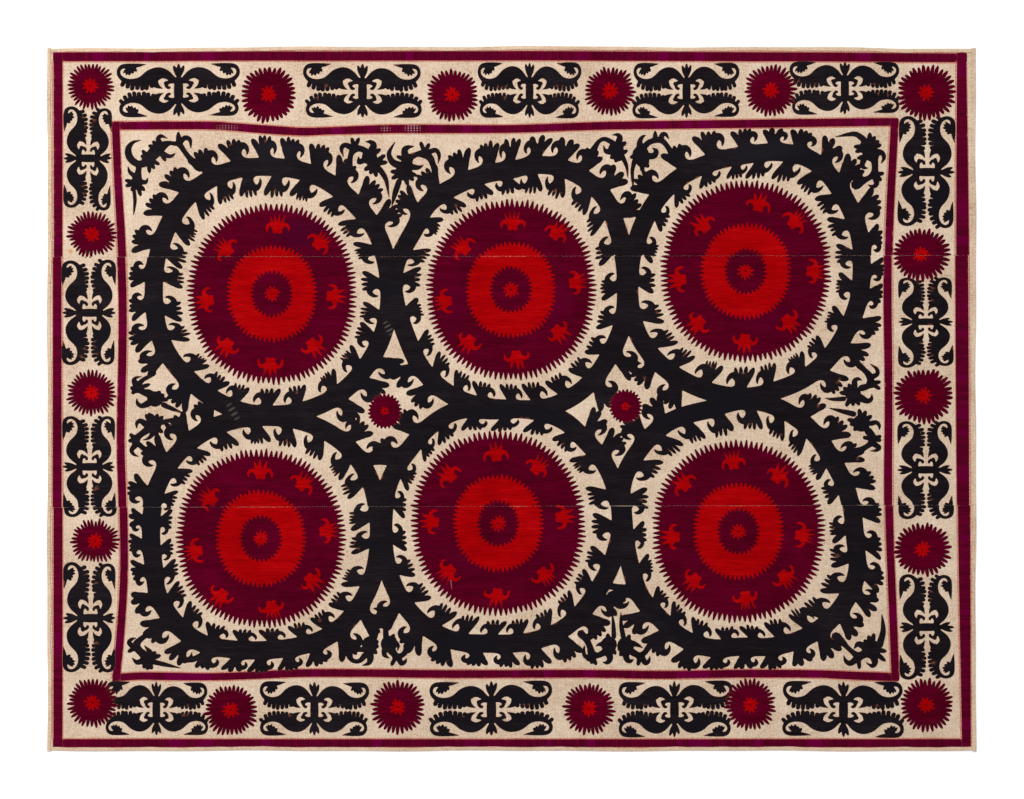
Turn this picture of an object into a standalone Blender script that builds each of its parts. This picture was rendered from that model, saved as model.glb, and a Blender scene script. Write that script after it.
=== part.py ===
"""Suzani embroidered textile: three sewn cloth panels with a narrow folded binding round them.

The cloth lies face up on a flat surface at z = 0. X runs along its long side and Y across the
panels, with the top panel at +Y. The origin is on that surface, under the middle of the cloth.
All sizes are in metres.
"""

import math

import bmesh
import bpy

OBJECT_NAME = "suzani_textile"

# Finished size, measured over the binding
LENGTH = 2.320
BREADTH = 1.760

# The top edge falls away by this much towards its two ends
TOP_BOW = 0.006

# Every edge wanders in and out by this much, over these lengths
EDGE_WAVE = 0.0016
EDGE_WAVE_LONG = 0.61
EDGE_WAVE_SHORT = 0.27

# The embroidered cotton of a panel, and the cotton strip of the binding
PANEL_THICK = 0.0015
BINDING_THICK = 0.0006
BINDING_WIDTH = 0.009
BINDING_FOLD = 0.0006

# Sewn pieces stay this far apart
GAP = 0.0003

# The upright bindings run past the level ones, to a rounded end
BINDING_OVERRUN = 0.0025

# Low cockles along the edges: their height, how far in they reach, and their lengths
COCKLE_HEIGHT = 0.0045
COCKLE_REACH = 0.42
COCKLE_LENGTH_X = 0.74
COCKLE_LENGTH_Y = 0.66

# The binding holds the panels' edge off the surface, and the cloth comes down over this width
SETTLE_WIDTH = 0.06

# Cells of a panel between its bound edges
CELLS_ALONG = 36
CELLS_ACROSS = 8

# The two seams slope a little: height at the left end and at the right end
UPPER_SEAM = (0.354, 0.358)
LOWER_SEAM = (-0.272, -0.266)

COTTON = (0.64, 0.47, 0.35)
BINDING_COTTON = (0.60, 0.47, 0.33)

HALF_LENGTH = LENGTH / 2
HALF_BREADTH = BREADTH / 2
BINDING_DEPTH = 2 * BINDING_THICK + 2 * GAP + PANEL_THICK
PANEL_INSET = BINDING_THICK + GAP


def smooth(t):
    """An eased step from 0 to 1."""
    t = min(max(t, 0.0), 1.0)
    return t * t * (3 - 2 * t)


def wave(distance, phase):
    """How far an edge wanders at this distance along it."""
    long_part = math.sin(2 * math.pi * distance / EDGE_WAVE_LONG + phase)
    short_part = math.sin(2 * math.pi * distance / EDGE_WAVE_SHORT + 2.3 * phase)
    return EDGE_WAVE * (0.6 * long_part + 0.4 * short_part)


def top_edge(x):
    return HALF_BREADTH - TOP_BOW * (x / HALF_LENGTH) ** 2 + wave(x, 0.4)


def bottom_edge(x):
    return -HALF_BREADTH + wave(x, 1.9)


def left_edge(y):
    return -HALF_LENGTH + wave(y, 2.8)


def right_edge(y):
    return HALF_LENGTH + wave(y, 4.1)


def seam(ends, x):
    """The height of a seam, given at its two ends, at this place along it."""
    share = (x + HALF_LENGTH) / LENGTH
    return ends[0] + (ends[1] - ends[0]) * share


def clear_of_binding(x, y):
    """The point, moved in from under the binding, where the cloth starts to be free."""
    reach_x = HALF_LENGTH - BINDING_WIDTH
    reach_y = HALF_BREADTH - BINDING_WIDTH
    return min(max(x, -reach_x), reach_x), min(max(y, -reach_y), reach_y)


def cockle(x, y):
    """How far the cloth stands off the surface where it cockles along its edges."""
    x, y = clear_of_binding(x, y)
    inside = min(HALF_LENGTH - abs(x), HALF_BREADTH - abs(y))
    along_x = math.sin(2 * math.pi * x / COCKLE_LENGTH_X + 0.9)
    along_y = math.sin(2 * math.pi * y / COCKLE_LENGTH_Y + 0.5)
    crest = max(0.0, 0.65 * along_x + 0.65 * along_y - 0.3)
    return COCKLE_HEIGHT * smooth(crest) * smooth(1 - inside / COCKLE_REACH)


def panel_lift(x, y):
    """The height of the panels' underside: it rises to the binding and with the cockles."""
    free_x, free_y = clear_of_binding(x, y)
    inside = min(HALF_LENGTH - abs(free_x), HALF_BREADTH - abs(free_y)) - BINDING_WIDTH
    rise = PANEL_INSET * smooth(1 - inside / SETTLE_WIDTH)
    return rise + cockle(x, y)


def evenly(first, last, cells):
    return [first + (last - first) * step / cells for step in range(cells + 1)]


def columns():
    """Places along the length, with one more at each end where the binding stops."""
    inner = evenly(-HALF_LENGTH + BINDING_WIDTH, HALF_LENGTH - BINDING_WIDTH, CELLS_ALONG)
    return [-HALF_LENGTH] + inner + [HALF_LENGTH]


def panel_lines(name):
    """The lower and upper line of a panel, as functions of the place along the length."""
    lines = {
        "panel_bottom": (
            lambda x: bottom_edge(x) + PANEL_INSET,
            lambda x: seam(LOWER_SEAM, x) - GAP / 2,
        ),
        "panel_middle": (
            lambda x: seam(LOWER_SEAM, x) + GAP / 2,
            lambda x: seam(UPPER_SEAM, x) - GAP / 2,
        ),
        "panel_top": (
            lambda x: seam(UPPER_SEAM, x) + GAP / 2,
            lambda x: top_edge(x) - PANEL_INSET,
        ),
    }
    return lines[name]


def rows(name):
    """Shares of the way up a panel, with one more where the binding on it stops."""
    lower, upper = panel_lines(name)
    bound_share = BINDING_WIDTH / (upper(0) - lower(0))
    first = bound_share if name == "panel_bottom" else 0.0
    last = 1 - bound_share if name == "panel_top" else 1.0
    shares = evenly(first, last, CELLS_ACROSS)
    if name == "panel_bottom":
        shares = [0.0] + shares
    if name == "panel_top":
        shares = shares + [1.0]
    return shares


def panel_point(name, x, share):
    """A point of a panel's underside, from its place along the length and up the panel."""
    lower, upper = panel_lines(name)
    y = lower(x) + (upper(x) - lower(x)) * share
    left = left_edge(y) + PANEL_INSET
    right = right_edge(y) - PANEL_INSET
    placed_x = left + (right - left) * (x + HALF_LENGTH) / LENGTH
    return placed_x, y, panel_lift(x, y)


def material(name, colour, roughness):
    made = bpy.data.materials.new(name)
    made.use_nodes = True
    shader = made.node_tree.nodes["Principled BSDF"]
    shader.inputs["Base Color"].default_value = (*colour, 1)
    shader.inputs["Roughness"].default_value = roughness
    shader.inputs["Metallic"].default_value = 0.0
    made.diffuse_color = (*colour, 1)
    return made


def grid_surface(name, across, along, point_at):
    """An open grid whose point at each pair of steps is worked out by point_at."""
    shape = bmesh.new()
    bmesh.ops.create_grid(shape, x_segments=across, y_segments=along, size=1)
    for vert in shape.verts:
        step_x = round((vert.co.x + 1) / 2 * across)
        step_y = round((vert.co.y + 1) / 2 * along)
        vert.co = point_at(step_x, step_y)
    mesh = bpy.data.meshes.new(name)
    shape.to_mesh(mesh)
    shape.free()
    return mesh


def sheet_of_cloth(name, mesh, thickness, side, colour, parts):
    """An object that gives the open surface its thickness, to one side of it."""
    piece = bpy.data.objects.new(name, mesh)
    parts.objects.link(piece)
    mesh.materials.append(material(name, colour, 0.9))
    shell = piece.modifiers.new("thickness", "SOLIDIFY")
    shell.thickness = thickness
    shell.offset = side
    shell.use_even_offset = True
    mesh.shade_smooth()
    mesh.set_sharp_from_angle(angle=math.radians(40))
    return piece


def panel(name, parts):
    """One loom width of embroidered cotton."""
    places = columns()
    shares = rows(name)

    def point_at(step_x, step_y):
        return panel_point(name, places[step_x], shares[step_y])

    mesh = grid_surface(name, len(places) - 1, len(shares) - 1, point_at)
    return sheet_of_cloth(name, mesh, PANEL_THICK, 1, COTTON, parts)


def fold_section(width):
    """A binding's outer face, from its lower lip round the fold to its upper lip: in and up."""
    top = BINDING_DEPTH
    turn = BINDING_FOLD
    return [
        (width, 0.0),
        (turn, 0.0),
        (0.0, turn),
        (0.0, top - turn),
        (turn, top),
        (width, top),
    ]


def upright_stations(edge):
    """Stations of an upright binding: place on the edge, height, and how far its end is drawn in."""
    x = math.copysign(HALF_LENGTH, edge)
    heights = []
    for name in ("panel_bottom", "panel_middle", "panel_top"):
        shares = rows(name)
        if heights:
            shares = shares[1:]
        heights += [panel_point(name, x, share)[1] for share in shares]
    heights[0] -= PANEL_INSET
    heights[-1] += PANEL_INSET
    stations = [(height, 0.0) for height in heights]
    for drawn_in in (0.3, 0.75, 1.0):
        reach = BINDING_OVERRUN * math.sqrt(1 - (1 - drawn_in) ** 2)
        stations.insert(0, (heights[0] - reach, drawn_in))
        stations.append((heights[-1] + reach, drawn_in))
    return stations


def upright_binding(name, edge, parts):
    """The folded strip up the left edge (edge -1) or the right edge (edge 1)."""
    stations = upright_stations(edge)
    edge_line = left_edge if edge < 0 else right_edge

    def point_at(step_x, step_y):
        y, drawn_in = stations[step_y]
        inward, up = fold_section(BINDING_WIDTH)[step_x]
        squeeze = 1 - 0.45 * drawn_in ** 2
        inward = BINDING_WIDTH / 2 + (inward - BINDING_WIDTH / 2) * squeeze
        return edge_line(y) - edge * inward, y, cockle(edge * HALF_LENGTH, y) + up

    mesh = grid_surface(name, 5, len(stations) - 1, point_at)
    if edge > 0:
        mesh.flip_normals()
    return sheet_of_cloth(name, mesh, BINDING_THICK, -1, BINDING_COTTON, parts)


def level_binding(name, edge, parts):
    """The folded strip along the bottom edge (edge -1) or the top edge (edge 1)."""
    owner = "panel_top" if edge > 0 else "panel_bottom"
    edge_line = top_edge if edge > 0 else bottom_edge
    places = [panel_point(owner, x, 0.5 + 0.5 * edge)[0] for x in columns()[1:-1]]
    corner_y = edge_line(edge * HALF_LENGTH)
    places[0] = left_edge(corner_y) + BINDING_WIDTH + GAP
    places[-1] = right_edge(corner_y) - BINDING_WIDTH - GAP

    def point_at(step_x, step_y):
        x = places[step_y]
        inward, up = fold_section(BINDING_WIDTH)[step_x]
        return x, edge_line(x) - edge * inward, cockle(x, edge * HALF_BREADTH) + up

    mesh = grid_surface(name, 5, len(places) - 1, point_at)
    if edge < 0:
        mesh.flip_normals()
    return sheet_of_cloth(name, mesh, BINDING_THICK, -1, BINDING_COTTON, parts)


def main():
    for old in list(bpy.data.objects):
        bpy.data.objects.remove(old, do_unlink=True)
    parts = bpy.data.collections.new(OBJECT_NAME)
    bpy.context.scene.collection.children.link(parts)
    for name in ("panel_bottom", "panel_middle", "panel_top"):
        panel(name, parts)
    upright_binding("binding_left", -1, parts)
    upright_binding("binding_right", 1, parts)
    level_binding("binding_bottom", -1, parts)
    level_binding("binding_top", 1, parts)


main()
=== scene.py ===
"""Looks of the suzani: cotton ground, couched embroidery, folded binding, light and camera.

Pattern tables are in steps of 2.5 mm from the middle of the cloth, x along it and y up it.
Everything else is in metres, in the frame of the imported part.
"""

import math
import random

import bmesh
import bpy
import numpy as np
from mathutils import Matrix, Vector
from mathutils.geometry import delaunay_2d_cdt
from mathutils.kdtree import KDTree


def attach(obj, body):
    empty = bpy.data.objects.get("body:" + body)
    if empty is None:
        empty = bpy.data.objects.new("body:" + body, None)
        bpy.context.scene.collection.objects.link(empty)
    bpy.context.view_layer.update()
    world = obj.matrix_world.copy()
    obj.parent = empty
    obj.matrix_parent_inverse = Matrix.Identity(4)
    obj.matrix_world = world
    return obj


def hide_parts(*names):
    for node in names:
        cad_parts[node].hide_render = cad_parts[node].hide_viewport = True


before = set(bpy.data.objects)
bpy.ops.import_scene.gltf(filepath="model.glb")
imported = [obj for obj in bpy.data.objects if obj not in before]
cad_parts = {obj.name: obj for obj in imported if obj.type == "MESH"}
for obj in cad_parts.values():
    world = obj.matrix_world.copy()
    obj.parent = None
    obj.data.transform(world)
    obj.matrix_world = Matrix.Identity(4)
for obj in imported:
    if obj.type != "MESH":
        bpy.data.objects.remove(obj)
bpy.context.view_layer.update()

FULL = 2 * math.pi
STEP = 0.0025
SEED = 7

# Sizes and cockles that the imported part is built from
LENGTH = 2.320
BREADTH = 1.760
HALF_LENGTH = LENGTH / 2
HALF_BREADTH = BREADTH / 2
TOP_BOW = 0.006
EDGE_WAVE = 0.0016
EDGE_WAVE_LONG = 0.61
EDGE_WAVE_SHORT = 0.27
PANEL_THICK = 0.0015
BINDING_THICK = 0.0006
BINDING_WIDTH = 0.009
GAP = 0.0003
BINDING_OVERRUN = 0.0025
BINDING_DEPTH = 2 * BINDING_THICK + 2 * GAP + PANEL_THICK
PANEL_INSET = BINDING_THICK + GAP
COCKLE_HEIGHT = 0.0045
COCKLE_REACH = 0.42
COCKLE_LENGTH_X = 0.74
COCKLE_LENGTH_Y = 0.66
SETTLE_WIDTH = 0.06
UPPER_SEAM = (0.354, 0.358)
LOWER_SEAM = (-0.272, -0.266)

# The cotton alone, and how the couched thread stands on it
GROUND_THICK = 0.0008
THREAD_LOW = 0.0001
THREAD_HIGH = 0.00065
THREAD_ROUND = 0.0013
GROUND_CELL = 0.016

# How far each panel's drawing was off when the panels were sewn, in steps
PANEL_SHIFT = {"panel_top": (0.5, 0.0), "panel_middle": (-0.5, 0.2), "panel_bottom": (0.4, -0.1)}

# Discs: x, y, half width and half height to the tips of the teeth
DISCS = (
    (-239.0, 104.6, 85.5, 91.0),
    (0.0, 108.6, 85.5, 91.0),
    (234.5, 127.1, 86.0, 91.5),
    (-251.0, -139.9, 85.5, 89.5),
    (-13.5, -124.9, 88.0, 92.5),
    (226.5, -132.9, 87.0, 91.5),
)
DISC_TEETH = 108
DISC_TOOTH = 8.2
RED_RING = (46.0, 49.0, 64, 5.4)
DISC_HEART = (21.5, 23.6, 31, 4.4)
HEART_ROSETTE = (8.6, 11)

# Where the eight lilies of each disc stand, from the disc's middle
LILIES = (
    ((4.5, 66.0), (-45.5, 43.1), (-63.5, -6.9), (-44.5, -50.4), (-1.5, -69.4), (40.5, -50.4),
     (60.0, -2.4), (45.5, 50.0)),
    ((0.5, 65.0), (-47.5, 41.0), (-64.5, -11.6), (-41.5, -51.0), (5.5, -66.0), (46.5, -41.0),
     (63.5, 7.0), (43.5, 56.0)),
    ((12.0, 65.5), (-42.2, 44.5), (-64.5, -8.5), (-46.3, -50.5), (-0.4, -68.1), (42.0, -49.0),
     (66.5, -0.1), (47.0, 48.5)),
    ((0.5, 64.5), (-48.5, 38.5), (-63.7, -12.5), (-38.7, -56.0), (10.9, -67.5), (49.5, -40.5),
     (64.0, 7.5), (41.5, 53.5)),
    ((-1.0, 67.5), (-47.0, 46.9), (-65.0, 1.5), (-48.5, -47.0), (-1.0, -70.1), (45.0, -49.5),
     (62.5, 6.5), (39.0, 54.5)),
    ((-4.0, 67.5), (-52.4, 46.0), (-64.0, -5.5), (-43.3, -47.5), (7.3, -64.9), (45.5, -44.2),
     (62.0, -3.5), (39.6, 53.9)),
)

# Rings. Half is the half width and half height of the band's middle, and hand the way the hooks
# turn. Wander gives how far outside that oval the hand-drawn band strays, at an angle in degrees.
# Inner gives the angle of each inner leaf's eye, and outer that of each outer leaf's middle.
RINGS = (
    {"at": (-238.5, 106.6), "half": (119.0, 125.0), "hand": -1,
     "wander": ((0, -2), (30, -5), (50, -7), (75, -2), (100, 1), (120, 2), (150, 0), (200, -1), (230, -6),
                (265, -2), (300, -5), (320, -6), (345, -3)),
     "inner": (14, 30, 47, 66, 80, 94, 107, 120, 138, 152, 164, 181, 194, 214, 230, 243, 259, 274, 294, 312,
               328, 340, 356),
     "outer": ((33.5, 45.6, 58.6, 70.2, 81.7, 93, 105, 117.4, 130, 142, 157, 172, 186, 199, 210, 228),
               (-58, -45, -34))},
    {"at": (-0.8, 109.6), "half": (118.0, 120.0), "hand": 1,
     "wander": ((10, -2), (30, 0), (45, 7), (65, 9), (80, 5), (88, 0), (100, -3), (118, -6), (135, -5),
                (150, -8.5), (175, -1), (203, -7), (225, -4), (245, -1), (270, 0), (292, 2.5), (325, -3),
                (345, -2)),
     "inner": (9, 29, 47, 60, 75, 88, 100, 115, 133, 150, 170, 183, 200, 220, 236, 251, 264, 279, 291, 305,
               320, 335, 352),
     "outer": ((35.9, 48.6, 59.8, 69.2, 79.9, 91.4, 100.8, 113.4, 127.7, 140.5), (219.8, 231.2),
               (-47.7, -32.4))},
    {"at": (233.5, 121.6), "half": (116.0, 122.0), "hand": -1,
     "wander": ((0, 1), (20, 2.5), (40, 4.5), (60, 10), (75, 6), (87, 1), (102, -3), (120, -5), (152, -5),
                (180, -1), (207, 0.5), (240, -4), (270, -2), (290, -6), (325, -6), (350, -0.5)),
     "inner": (3, 19, 33, 47, 61, 75, 86, 102, 120, 138, 157, 174, 192, 208, 223, 242, 260, 274, 293, 308,
               328, 347),
     "outer": ((-51, -35.6, -23, -9, 2.7, 17, 30.5, 45, 55, 66.6, 77, 90, 105, 119, 136), (223.6, 237.9))},
    {"at": (-245.0, -134.9), "half": (114.0, 116.5), "hand": 1,
     "wander": ((0, -2), (25, -0.7), (60, -1), (90, 0), (125, -1), (145, 0), (165, 2), (197, 2), (210, 7),
                (237, 8), (252, 3), (268, 0), (285, -1), (300, 0), (325, -2)),
     "inner": (3, 17, 36, 50, 69, 87, 103, 122, 140, 155, 170, 182, 197, 209, 222, 236, 251, 266, 281, 297,
               311, 326, 342),
     "outer": ((117.7, 130.3, 144, 161, 174.3, 185.8, 197.9, 210.3, 221.9, 234.7, 243.8, 256.7, 267.8, 281,
                293.4, 306.7, 320.7), (36, 49))},
    {"at": (-10.0, -127.9), "half": (120.0, 118.0), "hand": -1,
     "wander": ((0, -1), (30, -2), (45, -3.5), (60, 0.7), (80, 0), (95, -2), (110, 3), (125, 0), (140, -4),
                (160, -2), (200, -0.5), (243, 3), (262, -0.5), (285, -1.2), (300, -3), (325, -8.5),
                (350, -4)),
     "inner": (8, 29, 45, 62, 80, 96, 112, 125, 144, 160, 178, 194, 210, 228, 242, 257, 270, 285, 301, 318,
               334, 352),
     "outer": ((216.7, 230.5, 243.5, 257.8, 271.7, 284.8, 297.9, 312.6, 323.5), (131.7, 146), (35.7, 46.4))},
    {"at": (227.5, -124.9), "half": (117.0, 124.0), "hand": 1,
     "wander": ((0, -2.5), (15, -5.5), (35, -10), (60, -6), (72, -3), (87, -1), (105, -7.5), (125, -3),
                (142, -0.5), (160, 3), (178, -1), (200, -3), (217, -1), (230, -2), (245, 2), (258, 2.5),
                (271, -1), (285, 2), (312, 7), (336, 7), (350, 0)),
     "inner": (5, 26, 42, 62, 77, 92, 108, 125, 141, 158, 176, 194, 212, 231, 244, 258, 272, 285, 298, 312,
               321, 336, 351),
     "outer": ((211.8, 225, 236.4, 249.2, 261, 273.3, 284.6, 296.4, 306.8, 318, 328.6, 338, 351, 366.3, 380.4,
                393, 405, 419.3), (127, 138))},
)
BAND = 18.5
RING_SQUARENESS = 2.25
LEAF_HEIGHT = 21.5
LEAF_ROOM = 0.62
LEAF_CLEARANCE = 3.0
FIELD = (-382.0, 370.0, -268.0, 270.0)
DISC_SQUARENESS = 2.12

# Small medallions between the rings: x, y, half width, half height
SMALL_DISCS = (
    (-126.0, -12.9, 17.5, 18.0),
    (114.5, -7.9, 17.0, 17.5),
)

# Roundels of the border: x, y, half width, half height
ROUNDELS = (
    (-421.4, 312.7, 23.4, 23.7), (414.3, 306.0, 29.8, 27.9),
    (-419.5, -304.0, 25.0, 25.0), (414.5, -306.4, 27.0, 27.0),
    (-243.0, 303.9, 28.0, 28.6), (-59.5, 303.6, 26.5, 26.5),
    (98.0, 307.6, 25.5, 25.0), (258.5, 308.1, 26.0, 26.0),
    (-281.0, -311.4, 27.0, 26.0), (-114.0, -308.4, 27.0, 27.0),
    (77.0, -309.9, 26.0, 26.0), (238.5, -305.9, 25.5, 26.0),
    (-420.0, 164.1, 25.0, 23.0), (-419.3, 5.3, 25.0, 23.0), (-416.8, -142.4, 24.6, 22.0),
    (409.5, 144.1, 29.0, 27.0), (412.5, 2.6, 30.0, 28.0), (410.5, -150.9, 29.0, 27.0),
)

# Scrolls of the border: x, y, half length, half width, and quarter turns
SCROLLS = (
    (-333.3, 307.6, 61.0, 27.0, 0), (-149.5, 306.6, 58.5, 28.0, 0), (17.5, 306.6, 51.0, 28.0, 0),
    (174.5, 306.6, 53.5, 28.0, 0), (332.6, 309.6, 54.5, 27.0, 0),
    (-423.5, 240.3, 51.3, 24.6, 1), (-421.0, 85.6, 53.0, 27.0, 1), (-421.0, -68.4, 51.0, 27.0, 1),
    (-421.0, -219.4, 55.5, 27.0, 1),
    (-355.5, -311.4, 51.5, 28.0, 0), (-197.5, -311.4, 54.0, 28.0, 0), (-20.5, -311.4, 63.0, 28.0, 0),
    (162.5, -311.4, 57.5, 28.0, 0), (331.5, -311.4, 60.0, 28.0, 0),
    (415.3, 226.5, 55.4, 28.8, 1), (415.0, 76.6, 45.5, 28.0, 1), (415.0, -71.4, 49.5, 28.0, 1),
    (415.0, -228.4, 52.0, 28.0, 1),
)
SCROLL_LENGTH = 58.0
SCROLL_WIDTH = 29.0

# A quarter of a scroll, from its stem outwards and up: x, y and width along each stroke
SCROLL_ARM = (
    (1.0, 9.5, 6.5), (6.0, 12.8, 6.8), (11.5, 17.6, 9.2), (18.0, 19.2, 12.6), (24.5, 16.4, 15.0),
    (30.5, 12.2, 13.0), (36.0, 10.2, 9.8), (42.0, 9.6, 7.6), (47.6, 10.4, 6.0), (52.8, 13.2, 4.6),
    (56.0, 17.4, 3.8), (56.3, 22.0, 3.6), (54.0, 25.6, 4.4), (50.0, 26.8, 5.2), (43.0, 27.0, 5.2),
    (37.0, 27.6, 3.6), (30.5, 28.6, 0.6),
)
SCROLL_HORN = ((25.0, 12.0, 11.0), (21.8, 6.9, 6.6), (18.8, 4.3, 3.6), (14.7, 2.5, 0.6))
SCROLL_CURL = ((2.0, 10.4, 5.4), (7.5, 9.6, 3.6), (11.0, 8.4, 4.4), (11.6, 5.4, 3.2), (9.6, 3.4, 3.4),
               (8.0, 3.6, 1.8))
SCROLL_STEM = ((0.0, -17.0, 2.6), (0.0, -11.0, 6.4), (0.0, -5.0, 8.8), (0.0, 5.0, 8.8), (0.0, 11.0, 6.4),
               (0.0, 17.0, 2.6))
# Teeth and fingers: root x, root y, tip x, tip y, width
SCROLL_TEETH = (
    (25.0, 9.5, 25.2, 2.6, 4.4), (29.6, 8.5, 29.8, 1.2, 4.4), (34.0, 8.0, 34.4, 0.6, 4.4),
    (38.4, 8.0, 39.0, 0.4, 4.4), (42.8, 8.0, 43.8, 0.8, 4.4), (47.0, 9.0, 48.8, 2.0, 4.4),
    (51.0, 11.0, 53.6, 4.6, 4.4), (54.4, 14.6, 58.2, 9.2, 4.2),
)
SCROLL_FINGERS = (
    (42.5, 26.0, 39.6, 20.6, 3.4), (44.0, 25.5, 42.8, 18.2, 3.4), (45.6, 25.0, 46.2, 16.2, 3.4),
    (47.0, 25.0, 49.6, 16.6, 3.2), (47.6, 25.5, 52.2, 18.2, 2.6), (0.0, 14.0, 0.0, 29.4, 3.9),
    (0.4, 14.0, 4.9, 27.6, 4.1),
)

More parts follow.
